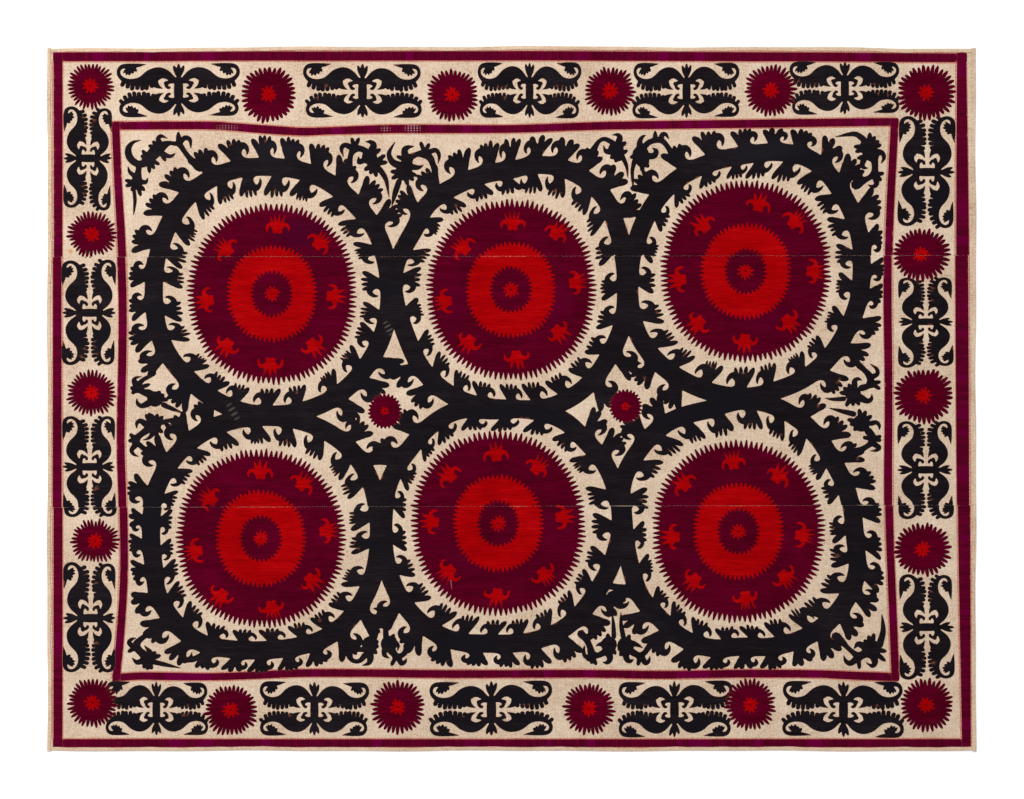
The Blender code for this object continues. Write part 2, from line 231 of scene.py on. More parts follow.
# Sprigs that fill the gaps between rings and border. Heads: x, y, radius. Tips: where the
# fingers of the nearest head end. Strokes: x, y and width along each.
SPRIGS = {
    "heads": (
        (-363.5, 240.0, 4.8), (-353.5, 249.4, 5.2), (-375.0, 215.6, 5.0),
        (-142.6, 241.6, 7.8), (-138.0, 235.0, 7.0), (-157.5, 250.5, 4.5),
        (-108.0, 226.4, 8.6), (-105.0, 238.0, 6.0), (-87.5, 246.0, 4.4),
        (103.9, 249.1, 8.0), (106.0, 243.0, 6.0), (128.7, 244.5, 8.4), (130.5, 238.0, 7.0),
        (356.4, 251.4, 9.2), (360.0, 244.0, 7.4), (363.0, 224.0, 5.0),
        (-356.0, -0.6, 8.0), (-374.7, 9.6, 4.6), (-358.0, -27.0, 8.4), (-375.2, -41.0, 4.8),
        (341.9, 4.7, 8.0), (360.0, 15.0, 5.0), (350.3, -24.7, 8.8), (361.6, -40.6, 5.0),
        (-364.2, -260.3, 7.8), (-375.6, -248.6, 4.6), (359.2, -250.3, 9.6), (346.5, -258.4, 4.6),
        (-142.0, -245.6, 8.2), (-123.0, -245.3, 8.4), (-116.0, -258.0, 4.0),
        (97.0, -245.8, 8.2), (80.3, -257.6, 5.0), (113.6, -247.0, 8.6), (128.0, -258.0, 4.2),
    ),
    "tips": (
        (-371.6, 243.0), (-369.9, 248.8), (-364.0, 253.4), (-359.4, 258.2),
        (-362.4, 225.0), (-357.2, 229.2), (-352.0, 233.8), (-346.0, 237.0),
        (-387.4, 218.4), (-387.0, 212.4), (-381.0, 207.4), (-371.0, 202.0), (-366.8, 207.6),
        (-131.0, 250.0), (-126.4, 244.0), (-124.2, 236.4), (-135.6, 221.2), (-141.9, 224.0),
        (-148.0, 228.0), (-160.5, 261.2), (-152.7, 261.2),
        (-121.9, 227.0), (-120.8, 219.6), (-104.0, 212.8), (-97.8, 217.8), (-95.0, 223.0),
        (-115.8, 242.6), (-91.7, 257.2), (-82.3, 255.6),
        (114.5, 256.8), (116.0, 248.5), (97.6, 240.6), (103.2, 236.0),
        (120.9, 247.5), (117.7, 240.8), (130.0, 226.6), (137.0, 231.0),
        (341.2, 252.0), (342.8, 246.4), (344.5, 240.0), (358.0, 266.2), (363.4, 262.6), (367.4, 258.0),
        (369.8, 253.6), (372.4, 225.4), (369.8, 217.6),
        (-362.3, -14.0), (-353.6, -17.2), (-347.4, -17.6), (-342.4, -1.4), (-346.2, 4.0),
        (-350.6, 7.8), (-360.4, 14.4), (-381.0, 10.6), (-379.2, 4.2),
        (-365.7, -15.6), (-359.2, -15.0), (-352.9, -15.2), (-347.8, -34.4), (-353.4, -38.2),
        (-381.4, -35.2), (-383.0, -42.8),
        (328.0, 5.8), (331.7, 11.0), (337.3, 15.0), (334.6, -8.4), (341.9, -8.0), (348.7, -7.2),
        (370.0, 16.7), (369.6, 9.0),
        (348.0, -10.0), (354.9, -11.8), (361.2, -16.8), (335.8, -20.8), (338.3, -26.0), (342.3, -32.4),
        (351.4, -38.8), (370.6, -37.5), (370.6, -42.2),
        (-368.6, -269.9), (-364.2, -271.6), (-359.6, -271.0), (-355.6, -252.8), (-350.6, -256.4),
        (-384.4, -253.4),
        (351.8, -240.6), (356.3, -236.2), (362.0, -234.0), (375.0, -252.6), (373.8, -262.7),
        (347.4, -270.6),
        (-150.0, -246.4), (-147.5, -242.0), (-143.0, -237.2), (-135.0, -255.6), (-133.8, -249.0),
        (-134.0, -242.6),
        (-132.7, -248.2), (-133.0, -242.2), (-115.6, -239.5), (-117.5, -235.0), (-120.8, -267.2),
        (95.7, -234.4), (92.8, -239.6), (108.2, -240.0), (104.2, -249.0), (104.2, -256.0),
        (75.0, -262.2), (79.6, -265.5), (84.7, -266.6),
        (103.8, -245.3), (105.6, -251.6), (107.8, -257.7), (118.0, -235.5), (125.8, -267.2),
    ),
    "strokes": (
        ((-368.6, 234.6, 7.6), (-362.4, 241.0, 11.4), (-355.4, 248.0, 12.6), (-349.4, 252.6, 9.2),
         (-343.0, 255.4, 5.0), (-338.0, 255.0, 4.4), (-332.6, 254.2, 6.0), (-327.2, 246.6, 5.2),
         (-320.8, 238.8, 6.4), (-312.5, 232.0, 11.0)),
        ((-332.8, 254.6, 6.0), (-333.4, 261.0, 5.4), (-333.6, 265.4, 3.0)),
        ((-351.6, 253.6, 6.4), (-353.8, 259.6, 5.0), (-350.8, 262.6, 3.8), (-344.4, 260.0, 0.8)),
        ((-350.0, 245.0, 6.4), (-343.6, 242.4, 4.4), (-339.4, 243.0, 3.2), (-336.6, 245.8, 0.8)),
        ((-332.5, 254.6, 4.8), (-327.5, 260.6, 5.2), (-322.0, 258.8, 4.4), (-321.0, 250.2, 1.0)),
        ((-366.0, 236.0, 8.0), (-373.0, 234.4, 7.2), (-379.4, 237.8, 7.4), (-383.4, 244.0, 7.4),
         (-383.2, 251.0, 6.0), (-378.6, 256.4, 3.4), (-371.0, 258.4, 0.8)),
        ((-372.8, 233.0, 6.0), (-373.8, 226.0, 6.4), (-375.0, 219.0, 10.4), (-374.8, 212.6, 8.0)),
        ((-378.0, 223.0, 5.0), (-382.4, 226.8, 3.6), (-384.0, 232.2, 0.8)),
        ((-371.0, 216.8, 5.6), (-366.2, 216.4, 4.0), (-363.8, 220.8, 0.8)),
        ((-378.2, 210.0, 3.6), (-377.0, 199.6, 3.8), (-377.6, 190.0, 2.6), (-378.4, 183.2, 0.7)),
        ((-149.0, 238.0, 6.0), (-153.0, 236.5, 4.8), (-153.4, 241.8, 1.4)),
        ((-140.0, 248.6, 8.0), (-138.2, 253.8, 6.2), (-141.5, 256.6, 4.2), (-146.6, 256.8, 0.8)),
        ((-146.0, 247.5, 6.4), (-152.0, 250.0, 6.4), (-158.0, 249.0, 7.4), (-161.4, 243.0, 5.4),
         (-162.6, 231.0, 6.4)),
        ((-161.5, 251.5, 6.4), (-167.0, 253.6, 5.0), (-170.6, 250.0, 4.4), (-168.4, 241.8, 0.8)),
        ((-132.5, 229.5, 6.0), (-126.0, 219.0, 4.8), (-122.9, 201.2, 0.8)),
        ((-101.0, 232.0, 7.0), (-94.0, 231.0, 4.6), (-88.4, 233.4, 0.8)),
        ((-106.5, 242.0, 8.0), (-107.5, 248.5, 6.4), (-104.0, 251.3, 4.4), (-97.8, 252.2, 0.8)),
        ((-112.0, 233.0, 8.0), (-119.5, 236.5, 6.8), (-123.0, 245.5, 4.6), (-116.7, 256.8, 0.8)),
        ((-104.5, 239.5, 9.0), (-96.0, 244.0, 5.4), (-88.0, 244.5, 8.4), (-81.5, 240.0, 7.2),
         (-77.5, 228.0, 5.8), (-76.0, 213.0, 8.0)),
        ((-82.0, 247.0, 5.4), (-76.0, 248.4, 4.8), (-72.8, 243.0, 3.8), (-74.0, 234.6, 0.8)),
        ((-113.0, 217.0, 6.0), (-117.0, 205.0, 5.6), (-120.2, 192.6, 0.8)),
        ((106.5, 256.0, 7.0), (107.8, 261.3, 5.8), (105.0, 264.0, 3.4), (100.3, 263.4, 0.8)),
        ((98.0, 247.0, 7.0), (93.5, 247.5, 4.2), (91.4, 253.2, 0.8)),
        ((110.0, 242.5, 5.4), (114.4, 233.0, 3.8), (116.0, 220.8, 0.8)),
        ((100.5, 256.0, 5.4), (92.5, 259.6, 4.6), (86.5, 256.8, 4.4), (82.0, 249.5, 6.4),
         (77.0, 243.0, 8.0)),
        ((135.0, 242.5, 7.0), (142.0, 242.8, 6.4), (144.2, 247.5, 4.8), (140.4, 250.6, 1.0)),
        ((128.0, 251.0, 7.4), (127.8, 257.0, 5.4), (130.5, 261.8, 3.4), (133.8, 263.3, 0.8)),
        ((122.5, 237.5, 5.4), (120.3, 228.0, 3.8), (120.6, 219.0, 3.2), (121.2, 210.0, 0.8)),
        ((132.0, 251.6, 6.4), (138.5, 257.0, 5.8), (149.0, 258.2, 5.8), (155.5, 252.0, 5.4),
         (160.0, 244.0, 6.8)),
        ((143.4, 258.0, 5.4), (143.2, 263.0, 4.8), (143.2, 266.8, 2.4)),
        ((148.5, 259.0, 6.4), (150.5, 264.2, 4.8), (154.0, 264.0, 3.8), (156.7, 259.4, 0.8)),
        ((363.0, 246.0, 8.0), (369.5, 246.0, 5.4), (372.0, 241.0, 4.2), (369.0, 235.0, 0.8)),
        ((351.5, 259.0, 6.6), (344.0, 264.2, 5.4), (334.5, 263.8, 3.8), (323.2, 261.6, 0.8)),
        ((352.5, 241.0, 7.0), (350.2, 234.4, 5.2), (351.8, 230.9, 3.8), (355.8, 230.4, 0.8)),
        ((362.0, 241.0, 8.4), (363.0, 232.0, 6.6), (362.0, 225.0, 7.4), (356.5, 220.5, 5.4),
         (350.0, 217.5, 8.0), (344.0, 214.0, 11.0)),
        ((363.5, 220.0, 6.4), (364.5, 214.5, 5.2), (360.5, 211.9, 3.8), (355.8, 214.0, 0.8)),
        ((-361.4, 4.7, 9.0), (-367.5, 6.4, 6.6), (-372.5, 9.7, 7.4), (-375.0, 14.0, 7.0),
         (-377.0, 18.0, 4.8), (-374.6, 20.9, 2.8), (-369.1, 21.9, 0.8)),
        ((-373.0, 13.6, 6.0), (-368.0, 18.5, 4.6), (-362.0, 21.8, 4.2), (-357.0, 25.0, 5.0)),
        ((-362.5, -5.0, 7.4), (-369.3, -7.6, 4.8), (-373.4, -5.0, 4.0), (-374.2, 0.0, 0.8)),
        ((-347.5, -6.4, 5.6), (-338.0, -10.7, 4.2), (-327.2, -15.0, 0.8)),
        ((-365.0, -26.0, 7.0), (-370.5, -22.4, 5.0), (-374.2, -25.0, 3.8), (-374.0, -30.2, 0.8)),
        ((-351.0, -24.5, 5.6), (-340.0, -21.6, 4.0), (-326.8, -17.8, 0.8)),
        ((-358.0, -35.0, 5.6), (-362.0, -39.6, 3.4), (-368.2, -41.8, 0.8)),
        ((-363.0, -31.0, 8.0), (-370.0, -36.0, 6.4), (-375.0, -41.0, 7.4), (-376.0, -47.0, 6.4),
         (-379.4, -51.4, 4.6), (-377.5, -55.8, 3.4), (-372.2, -58.2, 0.8)),
        ((-372.0, -46.0, 5.6), (-366.0, -51.0, 5.6), (-359.0, -55.0, 8.0)),
        ((349.0, 0.8, 8.0), (355.8, -2.6, 5.6), (360.2, -0.8, 4.2), (360.8, 4.4, 0.8)),
        ((333.0, -0.4, 5.0), (322.0, -0.9, 3.6), (313.8, 0.3, 0.8)),
        ((343.6, 13.0, 6.4), (343.4, 17.4, 5.2), (347.0, 19.6, 3.6), (351.0, 18.0, 0.8)),
        ((350.3, 10.3, 7.0), (357.0, 12.5, 6.2), (359.4, 17.5, 7.0), (358.0, 23.0, 7.0), (353.6, 28.0, 5.6),
         (348.0, 33.0, 7.0)),
        ((361.4, 21.6, 5.6), (366.3, 24.5, 4.4), (365.5, 29.5, 3.8), (359.0, 34.5, 0.8)),
        ((342.5, -15.6, 6.0), (330.0, -12.6, 4.4), (318.2, -9.8, 0.8)),
        ((360.0, -25.0, 5.6), (365.3, -24.0, 4.4), (368.4, -27.5, 3.4), (368.0, -31.6, 0.8)),
        ((357.0, -32.5, 8.0), (361.4, -38.0, 7.0), (361.0, -43.6, 7.0), (355.0, -48.5, 5.4),
         (348.0, -52.5, 7.0)),
        ((363.4, -46.0, 6.0), (368.2, -49.0, 4.6), (365.6, -51.8, 3.6), (359.0, -52.6, 0.8)),
        ((-369.0, -262.0, 6.4), (-375.0, -263.6, 4.8), (-379.8, -259.0, 0.8)),
        ((-357.0, -263.5, 5.4), (-345.0, -266.2, 4.2), (-331.0, -269.4, 0.8)),
        ((-362.0, -253.0, 5.4), (-367.7, -246.8, 0.8)),
        ((-368.0, -256.0, 8.4), (-373.0, -251.4, 7.8), (-375.6, -246.0, 8.0), (-370.6, -240.0, 5.6),
         (-362.5, -235.0, 5.6), (-353.0, -230.0, 8.0)),
        ((-379.0, -248.0, 5.4), (-382.8, -244.0, 4.8), (-380.4, -240.6, 3.6), (-375.6, -239.2, 0.8)),
        ((367.6, -246.0, 7.4), (371.0, -233.0, 5.8), (370.6, -222.0, 3.2), (369.5, -215.6, 0.8)),
        ((352.0, -247.5, 7.4), (346.0, -245.2, 5.4), (341.8, -250.2, 0.8)),
        ((361.0, -257.0, 8.4), (363.0, -263.0, 6.4), (360.3, -267.3, 4.2), (353.8, -263.6, 0.8)),
        ((354.0, -254.5, 8.4), (346.5, -257.2, 8.0), (341.0, -253.6, 5.4), (335.0, -248.2, 5.0),
         (330.0, -243.0, 7.4), (324.0, -238.0, 10.0)),
        ((343.5, -261.0, 7.0), (338.0, -264.6, 5.6), (333.6, -262.0, 4.0), (331.7, -256.6, 0.8)),
        ((-137.5, -239.5, 5.8), (-134.6, -231.0, 4.2), (-132.2, -223.8, 0.8)),
        ((-147.0, -250.4, 6.6), (-152.5, -251.2, 4.2), (-156.6, -253.2, 0.8)),
        ((-142.5, -254.0, 8.4), (-141.5, -260.0, 6.8), (-143.4, -264.6, 4.2), (-149.9, -266.8, 0.8)),
        ((-147.0, -256.6, 6.4), (-152.0, -262.0, 4.8), (-158.0, -262.3, 4.6), (-162.5, -258.0, 5.6),
         (-163.4, -250.0, 8.0)),
        ((-117.0, -243.6, 6.0), (-113.6, -247.0, 3.6), (-114.4, -252.2, 0.8)),
        ((-125.8, -238.6, 6.2), (-126.5, -228.0, 4.8), (-127.0, -220.4, 0.8)),
        ((-121.0, -251.0, 9.0), (-115.6, -257.0, 6.0), (-109.0, -256.0, 5.4), (-104.4, -249.0, 7.0),
         (-101.0, -240.0, 9.0)),
        ((-127.5, -251.0, 6.0), (-127.4, -256.4, 4.6), (-122.4, -259.4, 0.8)),
        ((-113.0, -260.0, 6.0), (-110.4, -264.7, 5.0), (-106.8, -263.0, 3.6), (-105.3, -259.6, 0.8)),
        ((102.0, -238.0, 5.0), (101.5, -226.0, 4.0), (100.3, -214.2, 0.8)),
        ((91.5, -245.5, 6.0), (87.5, -245.6, 3.6), (83.8, -247.2, 0.8)),
        ((96.0, -253.0, 8.4), (98.2, -259.6, 6.2), (95.5, -263.8, 4.2), (90.8, -263.6, 0.8)),
        ((92.5, -253.5, 7.0), (86.0, -256.6, 5.8), (80.0, -255.0, 8.0), (78.0, -248.0, 6.4),
         (74.5, -241.0, 6.4), (69.0, -235.0, 8.0)),
        ((76.6, -259.6, 5.0), (72.2, -256.0, 4.2), (72.0, -250.0, 2.8), (73.0, -246.8, 0.8)),
        ((111.4, -238.0, 5.4), (109.2, -226.0, 4.2), (109.0, -213.6, 0.8)),
        ((120.3, -244.5, 6.4), (126.0, -246.4, 3.8), (131.0, -249.4, 0.8)),
        ((113.5, -254.5, 7.4), (115.0, -260.6, 5.8), (118.2, -262.6, 4.2), (121.6, -260.4, 0.8)),
        ((119.0, -252.5, 7.4), (127.0, -256.6, 6.4), (132.6, -254.0, 5.6), (137.4, -247.6, 6.6),
         (144.0, -241.5, 9.0)),
        ((130.3, -259.0, 6.4), (133.4, -264.2, 5.2), (136.8, -262.4, 3.8), (138.0, -257.3, 0.8)),
    ),
}

# Maroon stripes: their middle lines as x, y and width
OUTER_STRIPE = {
    "left": ((-453.8, 346.0, 9.2), (-453.7, 120.0, 8.8), (-453.7, -120.0, 9.2), (-453.8, -349.0, 9.2)),
    "right": ((449.5, 346.0, 9.5), (450.5, 150.0, 13.0), (452.0, -110.0, 12.5), (454.5, -349.0, 9.0)),
    "top": ((-459.0, 341.6, 9.0), (0.0, 342.6, 9.6), (455.0, 340.6, 9.0)),
    "bottom": ((-459.0, -344.4, 8.4), (0.0, -344.4, 8.0), (459.0, -344.4, 8.4)),
}
INNER_STRIPE = {
    "left": ((-396.5, 277.0, 8.0), (-393.8, 215.0, 8.0), (-390.6, 158.6, 8.4), (-388.4, 98.6, 8.4),
             (-388.6, 40.0, 8.4), (-390.0, -20.0, 8.2), (-390.0, -60.0, 8.2), (-388.6, -101.4, 8.2),
             (-387.8, -171.4, 8.0), (-391.0, -230.0, 8.0), (-395.8, -283.0, 8.0)),
    "right": ((382.8, 280.0, 8.0), (377.5, 173.6, 8.0), (376.5, 98.6, 8.4), (377.5, -1.4, 8.0),
              (377.0, -81.4, 8.4), (378.0, -141.4, 8.0), (383.6, -281.5, 8.0)),
    "top": ((-400.5, 272.8, 8.0), (-305.0, 273.0, 8.0), (-277.0, 271.4, 8.0), (-246.0, 269.0, 8.4),
            (-209.0, 266.9, 8.0), (-181.0, 267.8, 7.8), (-111.5, 269.6, 8.6), (0.0, 269.6, 8.0),
            (88.5, 272.6, 8.0), (188.5, 274.1, 8.4), (386.0, 276.7, 8.0)),
    "bottom": ((-399.5, -279.2, 7.8), (-372.0, -277.4, 7.6), (-350.0, -277.6, 7.8), (-300.0, -278.0, 7.4),
               (-250.0, -276.2, 7.6), (-211.5, -274.4, 8.0), (-141.5, -274.4, 8.0), (-60.0, -275.4, 8.0),
               (70.0, -275.0, 8.0), (148.5, -276.2, 8.0), (230.0, -275.0, 8.0), (300.0, -275.2, 8.0),
               (340.0, -276.8, 8.2), (387.0, -278.6, 8.4)),
}

# Wear and stains of each material: x, y, half width, half height and turn in degrees of the oval
# they lie in, whether they show as dots, slashes, ladder rows or plain, and screen colour and strength
WEAR = {
    "red": (
        (-6.5, 142.3, 26.0, 0.55, 0, "dots", (226, 130, 112), 0.9),
        (1.0, -107.8, 18.0, 0.5, 0, "dots", (226, 130, 112), 0.7),
        (-244.0, 142.1, 33.0, 0.45, 0, "dots", (222, 120, 104), 0.5),
        (-250.0, -108.4, 32.0, 0.5, 0, "dots", (222, 120, 104), 0.6),
        (226.0, -107.2, 28.0, 0.45, 0, "dots", (222, 120, 104), 0.6),
    ),
    "maroon": (
        (-318.0, -108.5, 14.0, 0.4, 0, "dots", (196, 116, 108), 0.55),
        (-211.5, 166.0, 34.0, 20.0, 0, "plain", (58, 4, 34), 0.55),
        (-60.6, -182.5, 0.5, 9.0, 6, "plain", (190, 116, 108), 0.6),
        (40.0, 96.0, 30.0, 26.0, 0, "plain", (92, 0, 42), 0.35),
        (-60.0, 96.0, 22.0, 30.0, 0, "plain", (88, 0, 40), 0.3),
        (-40.0, -160.0, 30.0, 18.0, 0, "plain", (90, 0, 40), 0.3),
        (250.0, 80.0, 34.0, 20.0, 0, "plain", (92, 0, 42), 0.3),
    ),
    "black": (
        (113.5, -107.3, 16.0, 0.4, 0, "plain", (196, 172, 148), 0.75),
        (354.0, -106.6, 9.0, 0.4, 0, "plain", (196, 172, 148), 0.6),
        (-123.0, 70.4, 4.4, 11.0, 28, "slashes", (84, 78, 72), 0.85),
        (-278.5, -13.0, 4.6, 13.5, 30, "slashes", (84, 78, 72), 0.75),
        (-238.0, 246.0, 40.0, 16.0, 0, "plain", (24, 22, 30), 0.7),
        (250.0, 250.0, 60.0, 14.0, 0, "plain", (24, 22, 30), 0.7),
        (70.0, 200.0, 26.0, 30.0, 0, "plain", (24, 20, 28), 0.5),
    ),
    "stripe_level": (
        (-98.5, 270.4, 10.0, 6.0, 0, "ladder", (196, 160, 160), 0.75),
        (-126.0, 269.6, 6.0, 4.0, 0, "ladder", (196, 160, 160), 0.6),
        (-284.0, 270.5, 14.0, 5.0, 0, "ladder", (180, 130, 138), 0.55),
        (176.5, 274.0, 5.0, 8.0, 0, "plain", (112, 0, 66), 0.6),
        (71.0, 342.0, 8.0, 8.0, 0, "plain", (108, 0, 56), 0.5),
        (43.0, 271.0, 8.0, 8.0, 0, "plain", (108, 0, 58), 0.5),
        (-76.0, 270.0, 8.0, 8.0, 0, "plain", (106, 0, 56), 0.5),
        (-40.0, -344.0, 10.0, 8.0, 0, "plain", (106, 0, 58), 0.5),
    ),
    "stripe_upright": (
        (-391.0, 210.0, 8.0, 14.0, 0, "plain", (102, 0, 54), 0.5),
        (451.0, 190.0, 9.0, 16.0, 0, "plain", (104, 0, 52), 0.5),
    ),
    "ground": (
        (-440.8, 147.1, 3.0, 3.4, 0, "plain", (196, 138, 66), 0.7),
        (265.0, 243.0, 3.0, 2.0, 0, "plain", (190, 150, 110), 0.4),
        (-200.0, 214.0, 9.0, 5.0, 0, "plain", (206, 166, 130), 0.4),
    ),
}

# Thread kinds in the order they are drawn
KINDS = ("stripe_level", "stripe_upright", "black", "maroon", "red")


# Cloth shape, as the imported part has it

def smooth(t):
    """An eased step from 0 to 1."""
    t = np.clip(t, 0.0, 1.0)
    return t * t * (3 - 2 * t)


def wave(distance, phase):
    long_part = np.sin(FULL * distance / EDGE_WAVE_LONG + phase)
    short_part = np.sin(FULL * distance / EDGE_WAVE_SHORT + 2.3 * phase)
    return EDGE_WAVE * (0.6 * long_part + 0.4 * short_part)


def top_edge(x):
    return HALF_BREADTH - TOP_BOW * (x / HALF_LENGTH) ** 2 + wave(x, 0.4)


def bottom_edge(x):
    return -HALF_BREADTH + wave(x, 1.9)


def left_edge(y):
    return -HALF_LENGTH + wave(y, 2.8)


def right_edge(y):
    return HALF_LENGTH + wave(y, 4.1)


def seam(ends, x):
    return ends[0] + (ends[1] - ends[0]) * (x + HALF_LENGTH) / LENGTH


def clear_of_binding(x, y):
    reach_x = HALF_LENGTH - BINDING_WIDTH
    reach_y = HALF_BREADTH - BINDING_WIDTH
    return np.clip(x, -reach_x, reach_x), np.clip(y, -reach_y, reach_y)


def cockle(x, y):
    """How far the cloth stands off the surface."""
    x, y = clear_of_binding(x, y)
    inside = np.minimum(HALF_LENGTH - abs(x), HALF_BREADTH - abs(y))
    along_x = np.sin(FULL * x / COCKLE_LENGTH_X + 0.9)
    along_y = np.sin(FULL * y / COCKLE_LENGTH_Y + 0.5)
    crest = np.maximum(0.0, 0.65 * along_x + 0.65 * along_y - 0.3)
    return COCKLE_HEIGHT * smooth(crest) * smooth(1 - inside / COCKLE_REACH)


def panel_lift(x, y):
    """Height of the panels' underside."""
    free_x, free_y = clear_of_binding(x, y)
    inside = np.minimum(HALF_LENGTH - abs(free_x), HALF_BREADTH - abs(free_y)) - BINDING_WIDTH
    return PANEL_INSET * smooth(1 - inside / SETTLE_WIDTH) + cockle(x, y)


PANEL_LINES = {
    "panel_bottom": (
        lambda x: bottom_edge(x) + PANEL_INSET,
        lambda x: seam(LOWER_SEAM, x) - GAP / 2,
    ),
    "panel_middle": (
        lambda x: seam(LOWER_SEAM, x) + GAP / 2,
        lambda x: seam(UPPER_SEAM, x) - GAP / 2,
    ),
    "panel_top": (
        lambda x: seam(UPPER_SEAM, x) + GAP / 2,
        lambda x: top_edge(x) - PANEL_INSET,
    ),
}


# Drawing pieces of the pattern, in steps

def area(points):
    """The signed area of an outline, positive when it runs anticlockwise."""
    x, y = points[:, 0], points[:, 1]
    return 0.5 * float(np.sum(x * np.roll(y, -1) - y * np.roll(x, -1)))


def spline(rows, steps):
    """Points of a smooth curve through the rows."""
    given = np.array(rows, float)
    rows = np.vstack([2 * given[0] - given[1], given, 2 * given[-1] - given[-2]])
    share = (np.arange(steps) / steps)[:, None]
    points = []
    for a, b, c, d in zip(rows[:-3], rows[1:-2], rows[2:-1], rows[3:]):
        bend = 2 * a - 5 * b + 4 * c - d
        twist = 3 * b - a - 3 * c + d
        points.append(0.5 * (2 * b + (c - a) * share + bend * share ** 2 + twist * share ** 3))
    return np.vstack(points + [given[-1:]])


def oval(x, y, half_width, half_height=None, points=14):
    """The outline of an oval."""
    half_height = half_width if half_height is None else half_height
    angles = np.arange(points) * FULL / points
    return np.stack([x + half_width * np.cos(angles), y + half_height * np.sin(angles)], 1)


def bead(a, radius_a, b, radius_b):
    """The outline round two discs."""
    along = b - a
    distance = float(np.hypot(*along))
    if distance <= abs(radius_a - radius_b) + 1e-9:
        middle, radius = (a, radius_a) if radius_a > radius_b else (b, radius_b)
        return oval(middle[0], middle[1], radius, points=10)
    base = math.atan2(along[1], along[0])
    spread = math.acos((radius_a - radius_b) / distance)
    back = base + spread + (FULL - 2 * spread) * np.linspace(0, 1, 5)
    front = base - spread + 2 * spread * np.linspace(0, 1, 5)
    back_points = a + radius_a * np.stack([np.cos(back), np.sin(back)], 1)
    front_points = b + radius_b * np.stack([np.cos(front), np.sin(front)], 1)
    return np.vstack([back_points, front_points])


def stroke(rows, steps=4):
    """A tapered stroke as a chain of beads, from rows of x, y and width."""
    points = spline(rows, steps)
    radii = np.maximum(points[:, 2] / 2, 0.12)
    pairs = zip(points[:-1, :2], radii[:-1], points[1:, :2], radii[1:])
    return [bead(a, radius_a, b, radius_b) for a, radius_a, b, radius_b in pairs]


def petal(root, tip, width, point=0.5, root_share=0.55):
    """A finger from its root to a rounded (point 0) or sharp (point 1) tip."""
    root = np.array(root, float)
    axis = np.array(tip, float) - root
    length = float(np.hypot(*axis))
    axis = axis / length
    side = np.array([-axis[1], axis[0]])
    share = 1 - (1 - np.linspace(0, 1, 8)) ** 1.5
    turn = 0.74 - 0.38 * point
    grow = root_share + (1 - root_share) * np.sin(np.minimum(share / turn, 1) * math.pi / 2)
    past = np.clip((share - turn) / (1 - turn), 0, 1)
    taper = np.sqrt(1 - past ** 2) * (1 - point) + (1 - past ** 1.3) * point
    half = width / 2 * np.maximum(grow * taper, 0.02)
    middle = root + axis * (length * share)[:, None]
    offset = side * half[:, None]
    return np.vstack([middle - offset, (middle + offset)[::-1]])


def squarish(angle, half_width, half_height, squareness):
    """A place on a slightly squarish oval, and the direction out of it."""
    c, s = math.cos(angle), math.sin(angle)
    reach = (abs(c / half_width) ** squareness + abs(s / half_height) ** squareness) ** (-1 / squareness)
    x, y = reach * c, reach * s
    out_x = math.copysign(abs(x / half_width) ** (squareness - 1) / half_width, x)
    out_y = math.copysign(abs(y / half_height) ** (squareness - 1) / half_height, y)
    size = math.hypot(out_x, out_y)
    return x, y, out_x / size, out_y / size


# Where each point of a tooth lies along the rim, and how far out
def tooth_profile(width):
    return (
        (0.0, 0.0), (0.5 - 0.36 * width, 0.42), (0.5 - 0.2 * width, 0.84), (0.5, 1.0),
        (0.5 + 0.2 * width, 0.84), (0.5 + 0.36 * width, 0.42),
    )


def toothed_disc(x, y, half_width, half_height, teeth, length, rng, width=0.9, jitter=0.12):
    """A disc with a rim of slim teeth. Its half sizes are to the tips."""
    points = []
    turn = rng.random() * FULL
    for tooth in range(teeth):
        slip = (rng.random() - 0.5) * jitter
        tall = length * (1 + (rng.random() - 0.5) * 2.4 * jitter)
        deep = length * (rng.random() - 0.5) * 1.2 * jitter
        for share, rise in tooth_profile(width):
            angle = turn + FULL * (tooth + share + (slip if share > 0 else 0)) / teeth
            off = -length + deep + rise * (tall - deep)
            px, py, out_x, out_y = squarish(angle, half_width, half_height, DISC_SQUARENESS)
            points.append((x + px + off * out_x, y + py + off * out_y))
    return np.array(points)


def rosette(x, y, radius, petals, rng):
    """Petals round a small core."""
    shapes = [oval(x, y, radius * 0.52, points=16)]
    turn = rng.random() * FULL
    for number in range(petals):
        angle = turn + FULL * (number + (rng.random() - 0.5) * 0.25) / petals
        reach = radius * (1 + (rng.random() - 0.5) * 0.24)
        way = np.array([math.cos(angle), math.sin(angle)])
        root = np.array([x, y]) + radius * 0.25 * way
        tip = np.array([x, y]) + reach * way
        shapes.append(petal(root, tip, FULL * radius / petals * 0.52, 0.45))
    return shapes


def placed(shapes, x, y, turn=0.0, stretch_x=1.0, stretch_y=1.0):
    """Shapes stretched, turned and moved to their place."""
    c, s = math.cos(turn), math.sin(turn)
    moved = []
    for shape in shapes:
        u, v = shape[:, 0] * stretch_x, shape[:, 1] * stretch_y
        moved.append(np.stack([x + c * u - s * v, y + s * u + c * v], 1))
    return moved


